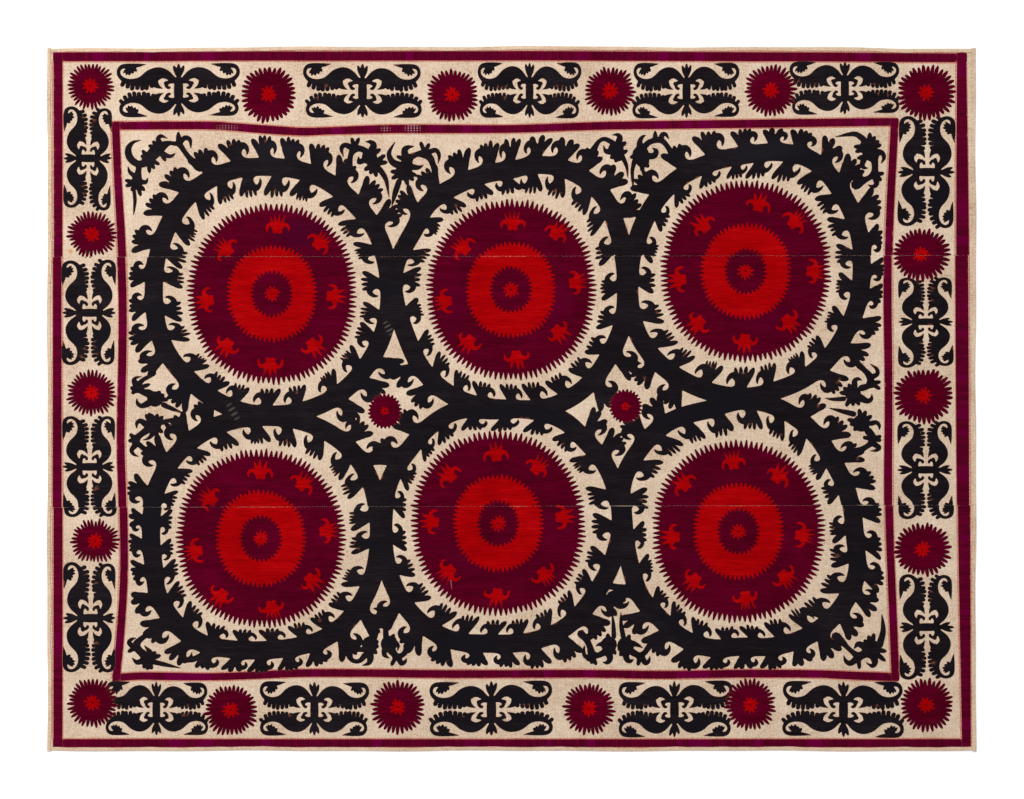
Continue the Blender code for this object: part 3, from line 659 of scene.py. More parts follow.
def lily(rng):
    """A lily of a disc, its foot at the origin, pointing up."""
    shapes = [oval(-2.6, -3.4, 2.6, 2.3), oval(2.6, -3.6, 2.6, 2.3), oval(0, -1.8, 3.6, 3.2)]
    count = rng.choice((3, 3, 4, 4))
    for number in range(count):
        lean = (number - (count - 1) / 2) * (19 / count)
        tip = (lean * 1.06 + rng.uniform(-0.8, 0.8), 15.6 - abs(lean) * 0.28 + rng.uniform(-1.2, 0.7))
        shapes.append(petal((lean * 0.22, -3.0), tip, 13.0 / count, 0.8))
    for side in (-1, 1):
        drop = rng.uniform(-1.5, 1.4)
        out = rng.uniform(0.92, 1.1)
        rows = (
            (2.0, -1.0, 5.0), (4.9 * out, 2.2, 4.4), (7.7 * out, 3.6, 3.8),
            (10.2 * out, 2.3 + drop * 0.3, 3.2), (11.5 * out, -0.7 + drop, 2.6),
            (11.1 * out, -3.2 + drop, 1.3),
        )
        shapes += stroke([(side * x, y, w) for x, y, w in rows])
    return shapes


# Leaves of a ring, drawn along the band from the root corner at 0 and away from it
OUTER_LEAF = {
    "pitch": 24.3,
    "body": ((-2, -4), (-0.8, -0.6), (-1.0, 1.2), (-2.6, 5), (-3.8, 9), (-3.0, 11.4), (1, 12.8), (8, 12.8),
             (12.4, 12.2), (12.8, 10.4), (11.0, 8.9), (9.9, 6.6), (10.0, 4.0), (11.1, 2.0), (13.0, 0.7),
             (16, 0.0), (19, -0.4), (19, -4)),
    "heart": (3.5, 5.5),
    "trail": ((1.9, 2.0), (-5.2, 20.0), 5.6),
    "fingers": ((1.4, 22.2), (9.8, 21.0)),
    "finger_width": 4.5,
    "hook": ((8.0, 12.0, 7), (10.8, 14.2, 6.2), (12.8, 13.2, 5.4), (14.3, 10.4, 4.0), (14.6, 7.6, 2.8),
             (14.1, 5.2, 1.8), (13.3, 3.6, 0.8)),
}
INNER_LEAF = {
    "pitch": 29.0,
    "body": ((-2, -4), (-1.2, -0.6), (-1.6, 1.0), (-4.6, 6), (-6.2, 9.6), (-3, 12.2), (4, 13.2), (10, 13.2),
             (13.2, 11.8), (13.4, 9.2), (11.4, 7.8), (9.9, 5.6), (9.6, 3.2), (10.5, 1.1), (12.8, 0.1),
             (17, -0.3), (17, -4)),
    "heart": (3.0, 4.5),
    "trail": ((2.2, 1.0), (-8.8, 18.7), 6.4),
    "fingers": ((-1.0, 21.2), (10.4, 20.0)),
    "finger_width": 5.0,
    "hook": ((8, 11.0, 7), (11.5, 12.0, 6.2), (14.2, 10.4, 5.0), (16.0, 7.4, 3.8), (16.6, 4.8, 2.6),
             (16.2, 2.2, 1.0)),
}


def leaf(kind, rng, width, height, fingers):
    """Shapes of one leaf on the flat: its palm, its trailing finger, the others and its hook."""
    shapes = [np.array(kind["body"], float)]
    heart_x, heart_y = kind["heart"]

    root, (tip_x, tip_y), finger_width = kind["trail"]
    tip = (tip_x + rng.uniform(-0.9, 0.9), tip_y + rng.uniform(-0.8, 0.8))
    shapes.append(petal(root, tip, finger_width, 0.1, 0.9))
    finger_width = kind["finger_width"] * 3.0 / (fingers + 0.6)
    (first_x, first_y), (last_x, last_y) = kind["fingers"]
    slope = rng.uniform(-0.7, 0.7)
    for number in range(fingers):
        share = number / (fingers - 1)
        tip_x = first_x + (last_x - first_x) * share + rng.uniform(-0.3, 0.3)
        tip_y = first_y + (last_y - first_y) * share + rng.uniform(-0.9, 0.7) + slope * (share - 0.5)
        root = (heart_x + (tip_x - heart_x) * 0.5, heart_y + 1.5)
        shapes.append(petal(root, (tip_x, tip_y), finger_width, 0.15, 0.8))
    bend = rng.uniform(-0.4, 0.6)
    last = len(kind["hook"]) - 1
    rows = [(x + bend * number / last, y, w) for number, (x, y, w) in enumerate(kind["hook"])]
    shapes += stroke(rows)
    return [shape * np.array([width, height]) for shape in shapes]


def wandering_line(rows):
    """The wander of a band all the way round, as angles in degrees and offsets."""
    before = [(angle - 360, offset) for angle, offset in rows[-2:]]
    after = [(angle + 360, offset) for angle, offset in rows[:2]]
    points = spline(before + list(rows) + after, 6)
    return points[:, 0], points[:, 1]


def on_ring(ring, angle, off):
    """The place at this angle, this far outside the middle of the ring's band."""
    x, y, out_x, out_y = squarish(angle, *ring["half"], RING_SQUARENESS)
    off += np.interp(math.degrees(angle) % 360, *ring["line"])
    return ring["at"][0] + x + off * out_x, ring["at"][1] + y + off * out_y


def ring_band(ring, pieces=120):
    shapes = []
    for piece in range(pieces):
        first = FULL * piece / pieces
        last = FULL * (piece + 1.02) / pieces
        corners = ((first, -BAND / 2), (first, BAND / 2), (last, BAND / 2), (last, -BAND / 2))
        shapes.append(np.array([on_ring(ring, angle, off) for angle, off in corners])[::-1])
    return shapes


def bent_onto_ring(ring, shapes, angle, side):
    """Flat leaf shapes bent onto a ring, outside (side 1) or inside it (side -1)."""
    radius = sum(ring["half"]) / 2
    bent = []
    for shape in shapes:
        bent.append(np.array([
            on_ring(ring, angle + ring["hand"] * u / radius, side * (BAND / 2 + v)) for u, v in shape
        ]))
    return bent


def room_for_leaf(ring, angle):
    """The share of a full leaf that fits between the ring and the inner stripe."""
    foot = on_ring(ring, angle, BAND / 2)
    tip = on_ring(ring, angle, BAND / 2 + LEAF_HEIGHT)
    share = 1.0
    for axis, way, limit in ((0, -1, FIELD[0]), (0, 1, FIELD[1]), (1, -1, FIELD[2]), (1, 1, FIELD[3])):
        if (tip[axis] - limit) * way > 0 and (tip[axis] - foot[axis]) * way > 0:
            share = min(share, (limit - foot[axis]) / (tip[axis] - foot[axis]))
    return max(share, LEAF_ROOM)


def room_inside(ring, disc, angle):
    """The share of a full inner leaf that fits between the band and the teeth of its disc."""
    foot = on_ring(ring, angle, -BAND / 2)
    away_x, away_y = foot[0] - disc[0], foot[1] - disc[1]
    rim_x, rim_y, _, _ = squarish(math.atan2(away_y, away_x), disc[2], disc[3], DISC_SQUARENESS)
    room = math.hypot(away_x, away_y) - math.hypot(rim_x, rim_y) - LEAF_CLEARANCE
    return min(max(room / LEAF_HEIGHT, 0.6), 1.0)


def leaf_pitches(ring, angles, usual, closed):
    """How far it is from each leaf to the next one that its hook points at, in steps."""
    radius = sum(ring["half"]) / 2
    hand = ring["hand"]
    pitches = []
    for number, angle in enumerate(angles):
        follower = number + hand
        if closed:
            gap = (angles[follower % len(angles)] - angle) * hand % 360
        elif 0 <= follower < len(angles):
            gap = (angles[follower] - angle) * hand
        else:
            gap = math.degrees(usual / radius)
        pitches.append(math.radians(gap) * radius)
    return pitches


def ring_shapes(ring, disc, rng):
    """A ring's band with its inner and outer leaves."""
    ring["line"] = wandering_line(ring["wander"])
    shapes = ring_band(ring)
    hand = ring["hand"]
    inner_pitches = leaf_pitches(ring, ring["inner"], INNER_LEAF["pitch"], True)
    for eye, pitch in zip(ring["inner"], inner_pitches):
        angle = math.radians(eye - hand * 10.4)
        fingers = 4 if pitch > 38 else 3
        width = min(max(pitch / INNER_LEAF["pitch"], 0.75), 1.25) ** 0.6
        tall = rng.uniform(0.95, 1.04) * room_inside(ring, disc, math.radians(eye - hand * 4))
        drawn = leaf(INNER_LEAF, rng, width, tall, fingers)
        shapes += bent_onto_ring(ring, drawn, angle, -1)
    for run in ring["outer"]:
        for middle, pitch in zip(run, leaf_pitches(ring, run, OUTER_LEAF["pitch"], False)):
            angle = math.radians(middle - hand * 3.0)
            fingers = 3 if pitch > 24 else 2
            width = min(max(pitch / OUTER_LEAF["pitch"], 0.75), 1.25) ** 0.6
            tall = rng.uniform(0.96, 1.05) * room_for_leaf(ring, angle)
            drawn = leaf(OUTER_LEAF, rng, width, tall, fingers)
            shapes += bent_onto_ring(ring, drawn, angle, 1)
    return shapes


def scroll(rng):
    """A border scroll: four arms mirrored about its stem."""
    shapes = stroke(SCROLL_STEM)
    for side in (-1, 1):
        for up in (-1, 1):
            swell = rng.uniform(0.95, 1.05)
            sway = rng.uniform(-0.5, 0.5)
            reach = rng.uniform(0.96, 1.02)
            tall = rng.uniform(0.97, 1.04) if up > 0 else rng.uniform(0.88, 0.97)
            arm = [(x, y + sway * x / 58, w * swell) for x, y, w in SCROLL_ARM]
            part = stroke(arm) + stroke(SCROLL_HORN) + stroke(SCROLL_CURL)
            part.append(oval(12.0 + sway, 8.4, 2.5, 2.1))
            part.append(oval(45.0, 24.8, 4.6, 2.8))
            teeth = SCROLL_TEETH if up < 0 else SCROLL_TEETH[:-1]
            for root_x, root_y, tip_x, tip_y, width in teeth:
                tip = (tip_x + rng.uniform(-0.5, 0.5), tip_y + rng.uniform(-0.7, 0.5))
                part.append(petal((root_x, root_y), tip, width, 0.1, 0.9))
            for root_x, root_y, tip_x, tip_y, width in SCROLL_FINGERS:
                tip = (tip_x + rng.uniform(-0.3, 0.3), tip_y + rng.uniform(-0.4, 0.4))
                part.append(petal((root_x, root_y), tip, width, 0.35, 0.5))
            shapes += [shape * np.array([side * reach, up * tall]) for shape in part]
    return shapes


def sprig_shapes():
    """Finger-edged heads on curling stems. Each finger grows from the nearest head."""
    shapes = [oval(x, y, radius) for x, y, radius in SPRIGS["heads"]]
    heads = np.array(SPRIGS["heads"])
    for tip in SPRIGS["tips"]:
        x, y, radius = heads[int(np.argmin(np.hypot(heads[:, 0] - tip[0], heads[:, 1] - tip[1])))]
        shapes.append(petal((x, y), tip, 5.0 if radius > 6 else 4.4, 0.15, 0.9))
    for rows in SPRIGS["strokes"]:
        shapes += stroke(rows)
    return shapes


def stripe_sides(rows):
    """Both sides of a stripe, from rows of x, y and width."""
    points = spline(rows, 16)
    along = np.gradient(points[:, :2], axis=0)
    along /= np.hypot(along[:, 0], along[:, 1])[:, None]
    out = np.stack([-along[:, 1], along[:, 0]], 1) * (points[:, 2] / 2)[:, None]
    return points[:, :2] - out, points[:, :2] + out


def stripe(rows):
    right, left = stripe_sides(rows)
    return np.vstack([right, left[::-1]])


def pattern():
    """All drawn shapes in drawing order, as pairs of thread kind and outline."""
    rng = random.Random(SEED)
    drawn = []

    def draw(kind, shapes):
        for shape in shapes:
            drawn.append((kind, shape if area(shape) > 0 else shape[::-1]))

    for stripes in (OUTER_STRIPE, INNER_STRIPE):
        draw("stripe_level", [stripe(stripes["top"]), stripe(stripes["bottom"])])
        draw("stripe_upright", [stripe(stripes["left"]), stripe(stripes["right"])])
    for ring, disc in zip(RINGS, DISCS):
        draw("black", ring_shapes(ring, disc, rng))
    for x, y, half_length, half_width, quarters in SCROLLS:
        stretch = (half_length / SCROLL_LENGTH, half_width / SCROLL_WIDTH)
        draw("black", placed(scroll(rng), x, y, quarters * math.pi / 2, *stretch))
    draw("black", sprig_shapes())
    for (x, y, half_width, half_height), feet in zip(DISCS, LILIES):
        draw("maroon", [toothed_disc(x, y, half_width, half_height, DISC_TEETH, DISC_TOOTH, rng)])
        draw("red", [toothed_disc(x, y, *RED_RING, rng)])
        draw("maroon", [toothed_disc(x, y, *DISC_HEART, rng)])
        draw("red", rosette(x, y, *HEART_ROSETTE, rng))
        draw("maroon", [oval(x, y, 1.0)])
        for foot_x, foot_y in feet:
            turn = math.atan2(foot_y, foot_x) - math.pi / 2 + rng.uniform(-0.08, 0.08)
            draw("red", placed(lily(rng), x + foot_x, y + foot_y, turn))
    for x, y, half_width, half_height in SMALL_DISCS:
        draw("maroon", [toothed_disc(x, y, half_width, half_height, 26, 3.2, rng)])
        draw("red", rosette(x, y, 5.0, 8, rng))
        draw("maroon", [oval(x, y, 1.1)])
    for x, y, half_width, half_height in ROUNDELS:
        draw("maroon", [toothed_disc(x, y, half_width, half_height, 34, 7.4, rng, 1.2, 0.2)])
        draw("red", rosette(x, y, 8.8, 10, rng))
        draw("maroon", [oval(x, y, 0.9)])
    return drawn


# Meshes of the embroidery

CURVE_SPACING = 0.5
CURVE_TOLERANCE = 0.05
FIRST_INSET = 0.24
SECOND_INSET = 0.58
FILL_SPACING = 6.0
BORDER_WIDTH = 0.42

# How often an outline that the triangles left empty is tried again, from this many points on
FILL_ATTEMPTS = 4
ROLL = 5

# The drawing runs this far out, past the panels' own edges
DRAWING_END = 470.0
DRAWING_TOP = 400.0


def panel_outline(name):
    """Corners of the stretch of the drawing that falls on one panel, in steps."""
    half_gap = GAP / 2 / STEP

    def seam_line(ends, nudge):
        return [float(seam(ends, x * STEP)) / STEP + nudge for x in (-DRAWING_END, DRAWING_END)]

    lines = {
        "panel_top": (seam_line(UPPER_SEAM, half_gap), [DRAWING_TOP] * 2),
        "panel_middle": (seam_line(LOWER_SEAM, half_gap), seam_line(UPPER_SEAM, -half_gap)),
        "panel_bottom": ([-DRAWING_TOP] * 2, seam_line(LOWER_SEAM, -half_gap)),
    }
    low, high = lines[name]
    return np.array([
        (-DRAWING_END, low[0]), (DRAWING_END, low[1]), (DRAWING_END, high[1]), (-DRAWING_END, high[0]),
    ])


def triangulate(points, edges, faces):
    """Delaunay triangles of the points that keep the given edges and outlines."""
    result = delaunay_2d_cdt([Vector(point) for point in points], edges, faces, 0, 1e-4, True)
    verts = np.array([(vert.x, vert.y) for vert in result[0]])
    return verts, np.array(result[2]), result[5], result[1], result[4]


def border_chains(triangles, owners):
    """Chains of edges between two kinds: the kind on the left, on the right, and the points."""
    edges = np.concatenate([triangles[:, (0, 1)], triangles[:, (1, 2)], triangles[:, (2, 0)]])
    left = np.concatenate([owners, owners, owners])
    size = int(triangles.max()) + 1
    keys = edges[:, 0].astype(np.int64) * size + edges[:, 1]
    twins = edges[:, 1].astype(np.int64) * size + edges[:, 0]
    order = np.argsort(keys)
    found = np.searchsorted(keys[order], twins)
    found = np.minimum(found, len(keys) - 1)
    matched = keys[order][found] == twins
    right = np.where(matched, left[order][found], -1)
    wanted = (left != right) & ((edges[:, 0] < edges[:, 1]) | ~matched)
    border = np.column_stack([edges[wanted], left[wanted], right[wanted]]).tolist()

    at_point = {}
    for number, (a, b, _, _) in enumerate(border):
        at_point.setdefault(a, []).append(number)
        at_point.setdefault(b, []).append(number)

    def passes(point):
        """Whether a chain runs on through the point."""
        meeting = at_point[point]
        if len(meeting) != 2:
            return False
        before, after = border[meeting[0]], border[meeting[1]]
        return set(before[2:]) == set(after[2:])

    used = [False] * len(border)
    chains = []

    def follow(start, first):
        """Walks a chain from this point and this edge to where it ends, and keeps it."""
        line = [start]
        number = first
        a, b, left_kind, right_kind = border[number]
        sides = (left_kind, right_kind) if a == start else (right_kind, left_kind)
        point = start
        while True:
            used[number] = True
            a, b = border[number][:2]
            point = b if a == point else a
            line.append(point)
            if point == start or not passes(point):
                break
            meeting = at_point[point]
            number = meeting[0] if meeting[1] == number else meeting[1]
            if used[number]:
                break
        chains.append((sides[0], sides[1], line))

    for point, meeting in at_point.items():
        if not passes(point):
            for number in meeting:
                if not used[number]:
                    follow(point, number)
    for number, edge in enumerate(border):
        if not used[number]:
            follow(edge[0], number)
    return chains


def evened(line, closed):
    """The line resampled at even spacing and eased a little, its ends kept."""
    gaps = np.hypot(*np.diff(line, axis=0).T)
    run = np.concatenate([[0.0], np.cumsum(gaps)])
    count = max(int(round(run[-1] / CURVE_SPACING)), 3 if closed else 1)
    at = np.linspace(0, run[-1], count + 1)
    points = np.stack([np.interp(at, run, line[:, 0]), np.interp(at, run, line[:, 1])], 1)
    for _ in range(2):
        if closed:
            ring = points[:-1]
            ring = 0.5 * ring + 0.25 * np.roll(ring, 1, 0) + 0.25 * np.roll(ring, -1, 0)
            points = np.vstack([ring, ring[:1]])
        elif len(points) > 2:
            points[1:-1] = 0.5 * points[1:-1] + 0.25 * points[:-2] + 0.25 * points[2:]
    return points


def thinned(points):
    """The points that the line needs to stay within the tolerance."""
    keep = np.zeros(len(points), bool)
    keep[0] = keep[-1] = True
    spans = [(0, len(points) - 1)]
    if np.hypot(*(points[0] - points[-1])) < 1e-6:
        middle = int(np.argmax(np.hypot(*(points - points[0]).T)))
        keep[middle] = True
        spans = [(0, middle), (middle, len(points) - 1)]
    while spans:
        first, last = spans.pop()
        if last - first < 2:
            continue
        a, b = points[first], points[last]
        along = b - a
        size = max(float(np.hypot(*along)), 1e-9)
        inner = points[first + 1:last] - a
        off = np.abs(inner[:, 0] * along[1] - inner[:, 1] * along[0]) / size
        far = int(np.argmax(off))
        if off[far] > CURVE_TOLERANCE or last - first > 12:
            if off[far] <= CURVE_TOLERANCE:
                far = (last - first) // 2 - 1
            keep[first + 1 + far] = True
            spans += [(first, first + 1 + far), (first + 1 + far, last)]
    return points[keep]


def filled_areas(verts, triangles, sources, count):
    """The area of the triangles that each outline was filled with."""
    corner = verts[triangles[:, 0]]
    side = verts[triangles[:, 1]] - corner
    other = verts[triangles[:, 2]] - corner
    sizes = 0.5 * np.abs(side[:, 0] * other[:, 1] - side[:, 1] * other[:, 0])
    filled = np.zeros(count)
    for size, source in zip(sizes.tolist(), sources):
        for number in source:
            filled[number] += size
    return filled


def partition(shapes, outline):
    """Border chains between the thread kinds within one panel, as eased lines."""
    points = [outline]
    faces = [list(range(len(outline)))]
    kinds = [-1]
    total = len(outline)
    for kind, shape in shapes:
        points.append(shape)
        faces.append(list(range(total, total + len(shape))))
        kinds.append(KINDS.index(kind))
        total += len(shape)
    needed = [0.5 * abs(area(shape)) - 0.5 for shape in points]
    for _ in range(FILL_ATTEMPTS):
        verts, triangles, sources, _, _ = triangulate(np.vstack(points), [], faces)
        filled = filled_areas(verts, triangles, sources, len(faces))
        missed = [number for number, least in enumerate(needed) if filled[number] < least]
        if not missed:
            break
        for number in missed:
            faces[number] = faces[number][ROLL:] + faces[number][:ROLL]
    owners = np.full(len(triangles), -1)
    for number, source in enumerate(sources):
        if source and 0 in source:
            owners[number] = kinds[max(source)]
    chains = []
    for left, right, line in border_chains(triangles, owners):
        closed = line[0] == line[-1]
        points = verts[line]
        if closed and abs(area(points)) < 0.5:
            continue
        chains.append((left, right, thinned(evened(points, closed))))
    return chains


def near_lines(chains):
    """A search tree of points along all border chains."""
    samples = []
    for _, _, points in chains:
        gaps = np.hypot(*np.diff(points, axis=0).T)
        run = np.concatenate([[0.0], np.cumsum(gaps)])
        at = np.arange(0, run[-1], 0.25)
        samples.append(np.stack([np.interp(at, run, points[:, 0]), np.interp(at, run, points[:, 1])], 1))
    samples = np.vstack(samples)
    tree = KDTree(len(samples))
    for number, (x, y) in enumerate(samples.tolist()):
        tree.insert((x, y, 0.0), number)
    tree.balance()
    return tree


def inset_points(chains, tree, inset):
    """Points a little inside the thread areas, along their borders."""
    found = []
    for left, right, points in chains:
        along = np.gradient(points, axis=0)
        if np.hypot(*(points[0] - points[-1])) < 1e-6 and len(points) > 3:
            along[0] = along[-1] = points[1] - points[-2]
        size = np.maximum(np.hypot(along[:, 0], along[:, 1]), 1e-9)
        normal = np.stack([-along[:, 1], along[:, 0]], 1) / size[:, None]
        for kind, side in ((left, 1), (right, -1)):
            if kind >= 0:
                found.append(points + side * inset * normal)
    found = np.vstack(found)
    clear = [tree.find((x, y, 0.0))[2] > 0.86 * inset for x, y in found.tolist()]
    found = found[np.array(clear)]
    cells = np.round(found / (inset * 0.5)).astype(np.int64)
    _, first = np.unique(cells, axis=0, return_index=True)
    return found[np.sort(first)]


def fill_points(outline, tree):
    """Evenly spread points over the panel, clear of every border."""
    low = outline.min(0)
    high = outline.max(0)
    xs = np.arange(low[0] + 3, high[0], FILL_SPACING)
    ys = np.arange(low[1] + 3, high[1], FILL_SPACING * 0.866)
    grid_x, grid_y = np.meshgrid(xs, ys)
    grid_x[1::2] += FILL_SPACING / 2
    points = np.stack([grid_x.ravel(), grid_y.ravel()], 1)
    clear = [tree.find((x, y, 0.0))[2] > 1.6 for x, y in points.tolist()]
    return points[np.array(clear)]


def spread_kinds(verts, triangles, edges, edge_sources, sides):
    """The kind of each triangle, voted for by the border edges round its area."""
    marks = {}
    for (a, b), source in zip(edges, edge_sources):
        for number in source:
            if number in sides:
                marks[(a, b)] = sides[number]
                marks[(b, a)] = sides[number]
    owner = {}
    corners = triangles.tolist()
    for number, (a, b, c) in enumerate(corners):
        owner[(a, b)] = number
        owner[(b, c)] = number
        owner[(c, a)] = number
    kinds = np.full(len(triangles), -2)
    for seed in range(len(corners)):
        if kinds[seed] != -2:
            continue
        group = [seed]
        kinds[seed] = -3
        votes = {}
        place = 0
        while place < len(group):
            a, b, c = corners[group[place]]
            place += 1
            for start, end in ((a, b), (b, c), (c, a)):
                mark = marks.get((start, end))
                if mark is None:
                    other = owner.get((end, start))
                    if other is not None and kinds[other] == -2:
                        kinds[other] = -3
                        group.append(other)
                    continue
                left, right, way = mark
                step = verts[end] - verts[start]
                same = step[0] * way[0] + step[1] * way[1] > 0
                kind = left if same else right
                votes[kind] = votes.get(kind, 0.0) + abs(step[0]) + abs(step[1])
        winner = max(votes, key=votes.get) if votes else -1
        kinds[group] = winner
    return kinds


def embroider(name, shapes):
    """The thread areas of one panel: their points, triangles, kinds and distance to a border."""
    outline = panel_outline(name)
    shift = np.array(PANEL_SHIFT[name])
    low, high = outline[:, 1].min() - 4, outline[:, 1].max() + 4
    near = [(kind, shape + shift) for kind, shape in shapes
            if shape[:, 1].max() > low and shape[:, 1].min() < high]
    chains = partition(near, outline)
    tree = near_lines(chains)
    points = []
    edges = []
    sides = {}
    total = 0
    for left, right, line in chains:
        for number in range(len(line) - 1):
            way = line[number + 1] - line[number]
            sides[len(edges)] = (left, right, way)
            edges.append((total + number, total + number + 1))
        points.append(line)
        total += len(line)
    points.append(inset_points(chains, tree, FIRST_INSET))
    points.append(inset_points(chains, tree, SECOND_INSET))
    points.append(fill_points(outline, tree))
    verts, triangles, _, out_edges, edge_sources = triangulate(np.vstack(points), edges, [])
    kinds = spread_kinds(verts, triangles, out_edges, edge_sources, sides)
    away = np.array([tree.find((x, y, 0.0))[2] for x, y in verts.tolist()])
    on_border = np.zeros(len(verts), bool)
    for (a, b), source in zip(out_edges, edge_sources):
        if any(number in sides for number in source):
            on_border[a] = on_border[b] = True
    away[on_border] = 0.0
    return verts, triangles, kinds, away


def new_piece(name, verts, faces, material, values=None):
    """A mesh piece that rides on the cloth, with any named value of its points."""
    mesh = bpy.data.meshes.new(name)
    mesh.from_pydata(np.asarray(verts).tolist(), [], np.asarray(faces).tolist())
    mesh.shade_smooth()
    for key, numbers in (values or {}).items():
        layer = mesh.attributes.new(key, "FLOAT", "POINT")
        layer.data.foreach_set("value", np.asarray(numbers, np.float32))
    mesh.materials.append(material)
    piece = bpy.data.objects.new(name, mesh)
    bpy.context.scene.collection.objects.link(piece)
    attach(piece, "root")
    return piece


def thread_pieces(name, shapes, materials):
    """The raised embroidery of one panel, one piece for each kind of thread."""
    verts, triangles, kinds, away = embroider(name, shapes)
    pieces = []
    x, y = verts[:, 0] * STEP, verts[:, 1] * STEP
    reach = np.clip(away * STEP / THREAD_ROUND, 0, 1)
    rise = THREAD_LOW + (THREAD_HIGH - THREAD_LOW) * np.sqrt(1 - (1 - reach) ** 2)
    z = panel_lift(x, y) + GROUND_THICK + rise
    placed_verts = np.stack([x, y, z], 1)
    seam_gap = np.minimum(abs(y - seam(UPPER_SEAM, x)), abs(y - seam(LOWER_SEAM, x)))
    clear_of_seams = seam_gap > 0.3 * STEP
    for number, kind in enumerate(KINDS):
        chosen = triangles[kinds == number]
        if not len(chosen):
            continue
        used, new_index = np.unique(chosen, return_inverse=True)
        piece_name = "thread_" + kind + name.replace("panel", "")
        border = (1 - np.clip(away[used] / BORDER_WIDTH, 0, 1)) * clear_of_seams[used]
        pieces.append(new_piece(
            piece_name, placed_verts[used], new_index.reshape(-1, 3), materials[kind],
            {"border": border},
        ))
    return pieces


# Stitched line along both sides of every stripe

STITCH_PITCH = 0.0040
STITCH_LONG = 0.0031
STITCH_WIDE = 0.0036
STITCH_HIGH = 0.0006
STITCH_OFF = 0.0012
STITCH_CLEAR = 0.00004


def on_a_stripe(x, y):
    """Which of the places lie on a stripe, given in steps."""
    covered = np.zeros(len(x), bool)
    for stripes in (OUTER_STRIPE, INNER_STRIPE):
        for name, rows in stripes.items():
            middle = spline(rows, 16)
            if name in ("top", "bottom"):
                along, across = x, y
            else:
                along, across = y, x
                middle = middle[:, (1, 0, 2)]
            middle = middle[np.argsort(middle[:, 0])]
            line = np.interp(along, middle[:, 0], middle[:, 1])
            width = np.interp(along, middle[:, 0], middle[:, 2])
            within = (along > middle[0, 0]) & (along < middle[-1, 0])
            covered |= within & (abs(across - line) < width / 2 - 0.2)
    return covered


def ladder_stitches(rng):
    """Places of the stitches: x, y and direction along the stripe."""
    places = []
    for stripes in (OUTER_STRIPE, INNER_STRIPE):
        for rows in stripes.values():
            for side, line in zip((-1, 1), stripe_sides(rows)):
                along = np.gradient(line, axis=0)
                along /= np.hypot(along[:, 0], along[:, 1])[:, None]
                out = np.stack([-along[:, 1], along[:, 0]], 1)
                line = line * STEP + side * out * STITCH_OFF
                gaps = np.hypot(*np.diff(line, axis=0).T)
                run = np.concatenate([[0.0], np.cumsum(gaps)])
                at = np.arange(STITCH_PITCH, run[-1] - STITCH_PITCH, STITCH_PITCH)
                at = at + np.array([rng.uniform(-0.0004, 0.0004) for _ in at])
                xs, ys = np.interp(at, run, line[:, 0]), np.interp(at, run, line[:, 1])
                way_x, way_y = np.interp(at, run, along[:, 0]), np.interp(at, run, along[:, 1])
                kept = ~on_a_stripe(xs / STEP, ys / STEP)
                places.append(np.stack([xs, ys, way_x, way_y], 1)[kept])
    return np.vstack(places)


def stitch_piece(name, places, material, long, wide, high, rng, base=None):
    """Many small raised stitches as one mesh. Each is a low ridge across its line."""
    shape = np.array([
        (-0.5, -0.5, 0.0), (0.5, -0.5, 0.0), (0.5, 0.5, 0.0), (-0.5, 0.5, 0.0),
        (-0.28, -0.36, 0.8), (0.28, -0.36, 0.8), (0.28, 0.36, 0.8), (-0.28, 0.36, 0.8),
    ])
    sides = np.array([(0, 1, 5, 4), (1, 2, 6, 5), (2, 3, 7, 6), (3, 0, 4, 7), (4, 5, 6, 7)])
    verts = []
    faces = []
    for number, (x, y, way_x, way_y) in enumerate(places):
        sway = rng.uniform(-0.12, 0.12)
        size = rng.uniform(0.85, 1.15)
        u = shape[:, 0] * long * size
        v = shape[:, 1] * wide * rng.uniform(0.9, 1.1)
        u = u + sway * v
        px = x + u * way_x - v * way_y
        py = y + u * way_y + v * way_x
        foot = panel_lift(px, py) + GROUND_THICK if base is None else base(px, py)
        pz = foot + STITCH_CLEAR + shape[:, 2] * high
        verts.append(np.stack([px, py, pz], 1))
        faces.append(sides + 8 * number)
    return new_piece(name, np.vstack(verts), np.vstack(faces), material)


# Cotton ground of a panel

def ground_piece(name, material):
    """The bare cotton of one panel, a closed sheet on a fine grid."""
    lower, upper = PANEL_LINES[name]
    columns = int(LENGTH / GROUND_CELL)
    rows = int((upper(0.0) - lower(0.0)) / GROUND_CELL)
    x = np.linspace(-HALF_LENGTH, HALF_LENGTH, columns + 1)[None, :].repeat(rows + 1, 0)
    share = np.linspace(0, 1, rows + 1)[:, None].repeat(columns + 1, 1)
    y = lower(x) + (upper(x) - lower(x)) * share
    left = left_edge(y) + PANEL_INSET
    right = right_edge(y) - PANEL_INSET
    placed_x = left + (right - left) * (x + HALF_LENGTH) / LENGTH
    z = panel_lift(placed_x, y)
    low = np.stack([placed_x, y, z], 2).reshape(-1, 3)
    high = low + np.array([0, 0, GROUND_THICK])
    count = len(low)
    index = np.arange(count).reshape(rows + 1, columns + 1)
    quads = np.stack([index[:-1, :-1], index[:-1, 1:], index[1:, 1:], index[1:, :-1]], 2).reshape(-1, 4)
    rim = np.concatenate([index[0, :], index[1:, -1], index[-1, -2::-1], index[-2:0:-1, 0]])
    after = np.roll(rim, -1)
    sides = np.stack([rim, after, after + count, rim + count], 1)
    faces = np.vstack([quads + count, quads[:, ::-1], sides])
    piece_name = "ground" + name.replace("panel", "")
    piece = new_piece(piece_name, np.vstack([low, high]), faces, material)
    piece.data.set_sharp_from_angle(angle=math.radians(50))
    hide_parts(name)
    return piece


# Folded binding

BINDING_STATION = 0.012
FOLD_ARC = 5


